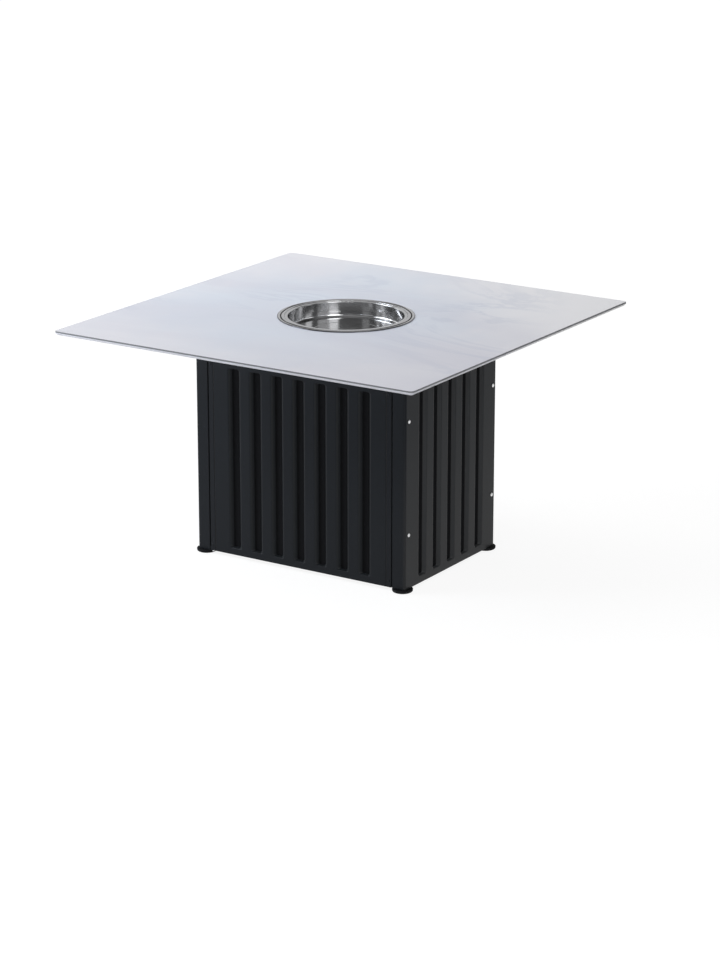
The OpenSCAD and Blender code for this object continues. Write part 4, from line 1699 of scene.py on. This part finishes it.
@dataclass
class Feet:
    """The four levelling feet with their threaded stems.

    The thread's profile is (share of the pitch, height between root and crest).
    """

    x: float = 341.3
    y: float = 231.3
    pad: float = 30.0
    base: float = 23.0
    height: float = 10.0
    swell: float = 5.5
    swell_start: float = -82.0
    swell_steps: int = 9
    crown: float = 1.4
    crown_steps: int = 4
    hollow: float = 0.6
    rim: Range = (1.6, 0.4)
    groove: Range = (6.8, 11.0)
    pad_steps: int = 64
    stem: float = 5.0
    stem_low: float = 3.0
    stem_high: float = 62.0
    low_end: float = 4.4
    high_end: float = 4.2
    end_gap: float = 0.5
    pitch: float = 1.5
    thread: float = 0.55
    play: float = 0.04
    profile: tuple[Plane, ...] = ((0.0, 1.0), (0.12, 1.0), (0.5, 0.0), (0.62, 0.0))
    steps: int = 32

    def build(self) -> None:
        """Forms each foot."""
        for end, sy in (("front", -1), ("back", 1)):
            for side, sx in (("left", -1), ("right", 1)):
                where = Matrix.Translation((sx * self.x, sy * self.y, 0.0))
                self.form_pad(f"{end}_{side}", where)
                self.form_stem(f"{end}_{side}", where)

    def form_pad(self, corner: str, where: Matrix) -> None:
        """Turns the moulded pad.

        Args:
            corner: the corner's name.
            where: where the foot stands.
        """
        h, top, crown = self.hollow, self.height, self.crown
        rim_in, rim_out = [self.base - inwards for inwards in self.rim]
        groove_in, groove_out = self.groove
        section = [(self.stem, self.stem_low), (self.stem, h), (rim_in, h), (rim_in + h, 0.0), (rim_out, 0.0)]
        section += arc((self.base, self.swell), (self.pad - self.base, self.swell), self.swell_start, 0.0,
                       self.swell_steps)
        section += arc((self.pad - crown, top - crown), (crown, crown), 0.0, 90.0, self.crown_steps)
        section += [(groove_out, top), (groove_out - h, top - h), (groove_in + h, top - h), (groove_in, top)]
        section.append((self.stem, top))
        former = Former(f"levelling_foot_{corner}")
        former.lathe(section, self.pad_steps, where)
        former.make(f"foot_{corner}", FOOT_PLASTIC, "black_plastic", [f"foot_pad_{corner}"], sharp=50.0)

    def form_stem(self, corner: str, where: Matrix) -> None:
        """Cuts a real thread round the stem, each turn of its rows running on into the next.

        Args:
            corner: the corner's name.
            where: where the foot stands.
        """
        former = Former(f"foot_thread_{corner}")
        low, *thread, high = [former.points([where @ p for p in row]) for row in self.stem_rows()]
        per_turn = len(self.profile)
        for first, second in zip(thread, thread[1:]):
            former.band(first, second, closed=False)
        above = [*thread[per_turn:], thread[-1]]
        for first, second, over, next_over in zip(thread, thread[1:], above, above[1:]):
            former.face((first[-1], over[0], next_over[0], second[-1]))
        former.face(low)
        former.face(high)
        former.band(low, thread[0])
        former.band(thread[-1], high)
        former.face([thread[0][-1]] + [row[0] for row in thread[:per_turn + 1]])
        former.face([row[-1] for row in thread[-per_turn:]] + [thread[-1][0]])
        former.make(f"foot_{corner}", PLATED, "bright_steel", [f"foot_stem_{corner}"], sharp=30.0)

    def stem_rows(self) -> list[list[Vector]]:
        """Winds the thread's rows.

        Returns:
            The ring of the stem's lower end, the thread's rows and the ring of its upper end.
        """
        turns = int((self.stem_high - self.stem_low - 2 * self.end_gap) / self.pitch)
        rows = [circle(self.low_end, self.stem_low, self.steps)]
        for turn in range(turns):
            for share, crest in self.profile:
                radius = self.stem - self.thread * (1 - crest) - self.play
                row = circle(radius, 0.0, self.steps)
                for k, point in enumerate(row):
                    wound = turn + share + k / self.steps
                    point.z = self.stem_low + self.end_gap + wound * self.pitch
                rows.append(row)
        return [*rows, circle(self.high_end, self.stem_high, self.steps)]


# The studio


@dataclass(frozen=True)
class PaleFloor(Finish):
    """A white studio floor that keeps a soft shadow."""

    colour: Colour = (0.52, 0.52, 0.52)
    grain_tone: Colour = (0.50, 0.50, 0.51)
    grains: Noise = Noise(3.0)
    grain_share: float = 0.1
    kept: Colour = (0.19, 0.19, 0.19)
    near_glow: Colour = (0.88, 0.88, 0.88)
    far_glow: Colour = WHITE
    glow_reach: Range = (1.2, 4.0)

    def surface(self, shader: Shader) -> Socket:
        """Writes the floor's nodes.

        Args:
            shader: the tree that they go into.

        Returns:
            The surface that they end in.
        """
        place = shader.place()
        x, y, _ = shader.axes(place)
        seen = shader.rays(Ray.CAMERA, Ray.GLOSSY, Ray.TRANSMISSION)
        grain = shader.noise(place, self.grains) * self.grain_share
        colour = shader.blend(grain, self.colour, self.grain_tone)
        glow = shader.blend(distance(x, y).smooth(*self.glow_reach), self.near_glow, self.far_glow)
        plain = shader.add("ShaderNodeBsdfDiffuse", inputs={"Color": colour})
        shaded = shader.add("ShaderNodeBsdfDiffuse", inputs={"Color": (*self.kept, 1.0)})
        glowing = shader.add("ShaderNodeEmission", inputs={"Color": glow, "Strength": 1.0})
        shown = shader.add("ShaderNodeAddShader", inputs={0: shaded.outputs[0], 1: glowing.outputs[0]})
        mixed = {0: seen, 1: plain.outputs[0], 2: shown.outputs[0]}
        return shader.add("ShaderNodeMixShader", inputs=mixed).outputs[0]


@dataclass(frozen=True)
class Softbox:
    """A soft rectangular lamp that points at the table."""

    name: str
    azimuth: float
    elevation: float
    distance: float
    width: float
    height: float
    power: float
    colour: Colour = WHITE
    aim: Point = (0.0, 0.0, 0.45)
    mirrored: bool = True

    def build(self) -> None:
        """Hangs the lamp."""
        lamp = bpy.data.lights.new(self.name, "AREA")
        lamp.shape = "RECTANGLE"
        lamp.size = self.width
        lamp.size_y = self.height
        lamp.energy = self.power
        lamp.color = self.colour
        back = toward(self.azimuth, self.elevation)
        thing = put(self.name, lamp)
        thing.location = Vector(self.aim) + back * self.distance
        thing.rotation_euler = back.to_track_quat("Z", "Y").to_euler()
        thing.visible_camera = False
        thing.visible_glossy = self.mirrored


@dataclass(frozen=True)
class Card:
    """A white card that stands in the studio and shows only in what mirrors it."""

    azimuth: float
    half_width: float
    light: float
    soft: float = 2.5

    def seen(self, bearing: Value) -> Value:
        """Shows the card at its bearing, with soft edges.

        Args:
            bearing: the mirrored direction's angle in radians to the right of straight in front.

        Returns:
            The light that the card adds there.
        """
        off = abs(bearing - math.radians(self.azimuth))
        wide = math.radians(self.half_width + self.soft)
        return self.light * off.smooth(wide, wide - 2.0 * math.radians(self.soft))


@dataclass(frozen=True)
class Studio:
    """Camera, floor, lamps and surroundings."""

    camera_place: Point = (4.6740, -7.1537, 2.8372)
    azimuth: float = 32.89
    down: float = 17.06
    lens: float = 113.91
    sensor: float = 36.0
    far_clip: float = 200.0
    floor_half: float = 45.0
    lamps: tuple[Softbox, ...] = (
        Softbox("back_softbox", -130.0, 60.0, 2.6, 1.8, 1.8, 31.0, mirrored=False),
        Softbox("right_softbox", 60.0, 38.0, 4.6, 1.8, 2.2, 48.0),
        Softbox("low_front_card", 32.0, 3.0, 4.0, 2.0, 1.0, 30.0),
        Softbox("left_softbox", -60.0, 36.0, 4.4, 2.4, 2.2, 100.0, (0.94, 0.98, 1.05)),
        Softbox("low_left_card", -48.0, 6.0, 2.6, 0.9, 0.7, 26.0, (0.92, 0.98, 1.08), (-0.3, 0.0, 0.3)),
    )
    fill: Colour = (0.20, 0.20, 0.20)
    back_wall: float = 0.57
    front_wall: float = 0.15
    front_range: Range = (-0.75, 0.30)
    dark_band: float = 0.08
    band_range: Range = (0.42, 0.62)
    ceiling: float = 0.45
    ceiling_range: Range = (0.74, 0.92)
    blue_share: float = 1.01
    cards: tuple[Card, ...] = (
        Card(114.0, 8.0, 0.95), Card(80.0, 12.0, 0.46), Card(58.0, 9.0, 1.25), Card(-7.0, 7.0, 0.24),
        Card(-34.0, 3.5, 0.50), Card(-49.0, 4.0, 0.75), Card(-66.0, 10.0, 0.32), Card(-92.0, 12.0, 0.95),
    )

    def build(self) -> None:
        """Sets up the whole studio."""
        self.set_camera()
        self.lay_floor()
        self.set_world()
        for lamp in self.lamps:
            lamp.build()

    def set_camera(self) -> None:
        """Places the camera at the photograph's angle."""
        a = math.radians(self.azimuth)
        back = toward(self.azimuth, self.down)
        right = Vector((math.cos(a), math.sin(a), 0.0))
        turn = Matrix((right, back.cross(right), back)).transposed().to_4x4()
        data = bpy.data.cameras.new("view")
        data.lens = self.lens
        data.sensor_width = self.sensor
        data.clip_end = self.far_clip
        camera = put("view", data)
        camera.matrix_world = Matrix.Translation(self.camera_place) @ turn
        bpy.context.scene.camera = camera

    def lay_floor(self) -> None:
        """Lays the pale floor."""
        h = self.floor_half
        mesh = bpy.data.meshes.new("studio_floor")
        mesh.from_pydata([(-h, -h, 0.0), (h, -h, 0.0), (h, h, 0.0), (-h, h, 0.0)], [], [(0, 1, 2, 3)])
        mesh.materials.append(PaleFloor("pale_floor").material())
        floor = put("studio_floor", mesh)
        floor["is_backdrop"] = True

    def set_world(self) -> None:
        """Writes the surroundings: white to the camera, a room to mirrors and an even fill to all else."""
        world = bpy.data.worlds.new("studio")
        bpy.context.scene.world = world
        world.use_nodes = True
        shader = Shader(world.node_tree)
        direction = shader.add("ShaderNodeTexCoord").outputs["Generated"]
        lit = shader.blend(shader.rays(Ray.GLOSSY), self.fill, self.surroundings(shader, direction))
        colour = shader.blend(shader.rays(Ray.CAMERA, Ray.TRANSMISSION), lit, WHITE)
        back = shader.add("ShaderNodeBackground", inputs={"Color": colour, "Strength": 1.0})
        shader.add("ShaderNodeOutputWorld", inputs={"Surface": back.outputs[0]})

    def surroundings(self, shader: Shader, direction: Socket) -> Socket:
        """Paints what glossy surfaces mirror: a grey room with pale cards, a dark band and a ceiling.

        Args:
            shader: the world's tree.
            direction: the direction that is looked in.

        Returns:
            The room's colour.
        """
        x, y, z = shader.axes(direction)
        a = math.radians(self.azimuth)
        front = (x * math.sin(a) - y * math.cos(a)).smooth(*self.front_range)
        level = self.back_wall + front * (self.front_wall - self.back_wall)
        bearing = x.math("ARCTAN2", -1.0 * y)
        for card in self.cards:
            level = level + card.seen(bearing)
        for light, heights in ((self.dark_band, self.band_range), (self.ceiling, self.ceiling_range)):
            share = z.smooth(*heights)
            level = level * (1.0 - share) + light * share
        return shader.vector(level, level, level * self.blue_share)


def corners(box: tuple[Vector, Vector]) -> list[list[float]]:
    """A box as plain lists."""
    return [list(corner) for corner in box]


def main() -> None:
    """Builds the studio and the pieces."""
    logging.basicConfig(level=logging.INFO, format="%(message)s")
    bpy.context.scene.view_settings.view_transform = "Standard"
    before = corners(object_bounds())
    Studio().build()
    for assembly in (StoneTop(), Well(), Cabinet(), Door(), Skeleton(), Feet()):
        assembly.build()
        LOG.info("%s done", type(assembly).__name__)
    {"frame": before, "dressed": corners(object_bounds())}


if __name__ == "__main__":
    main()
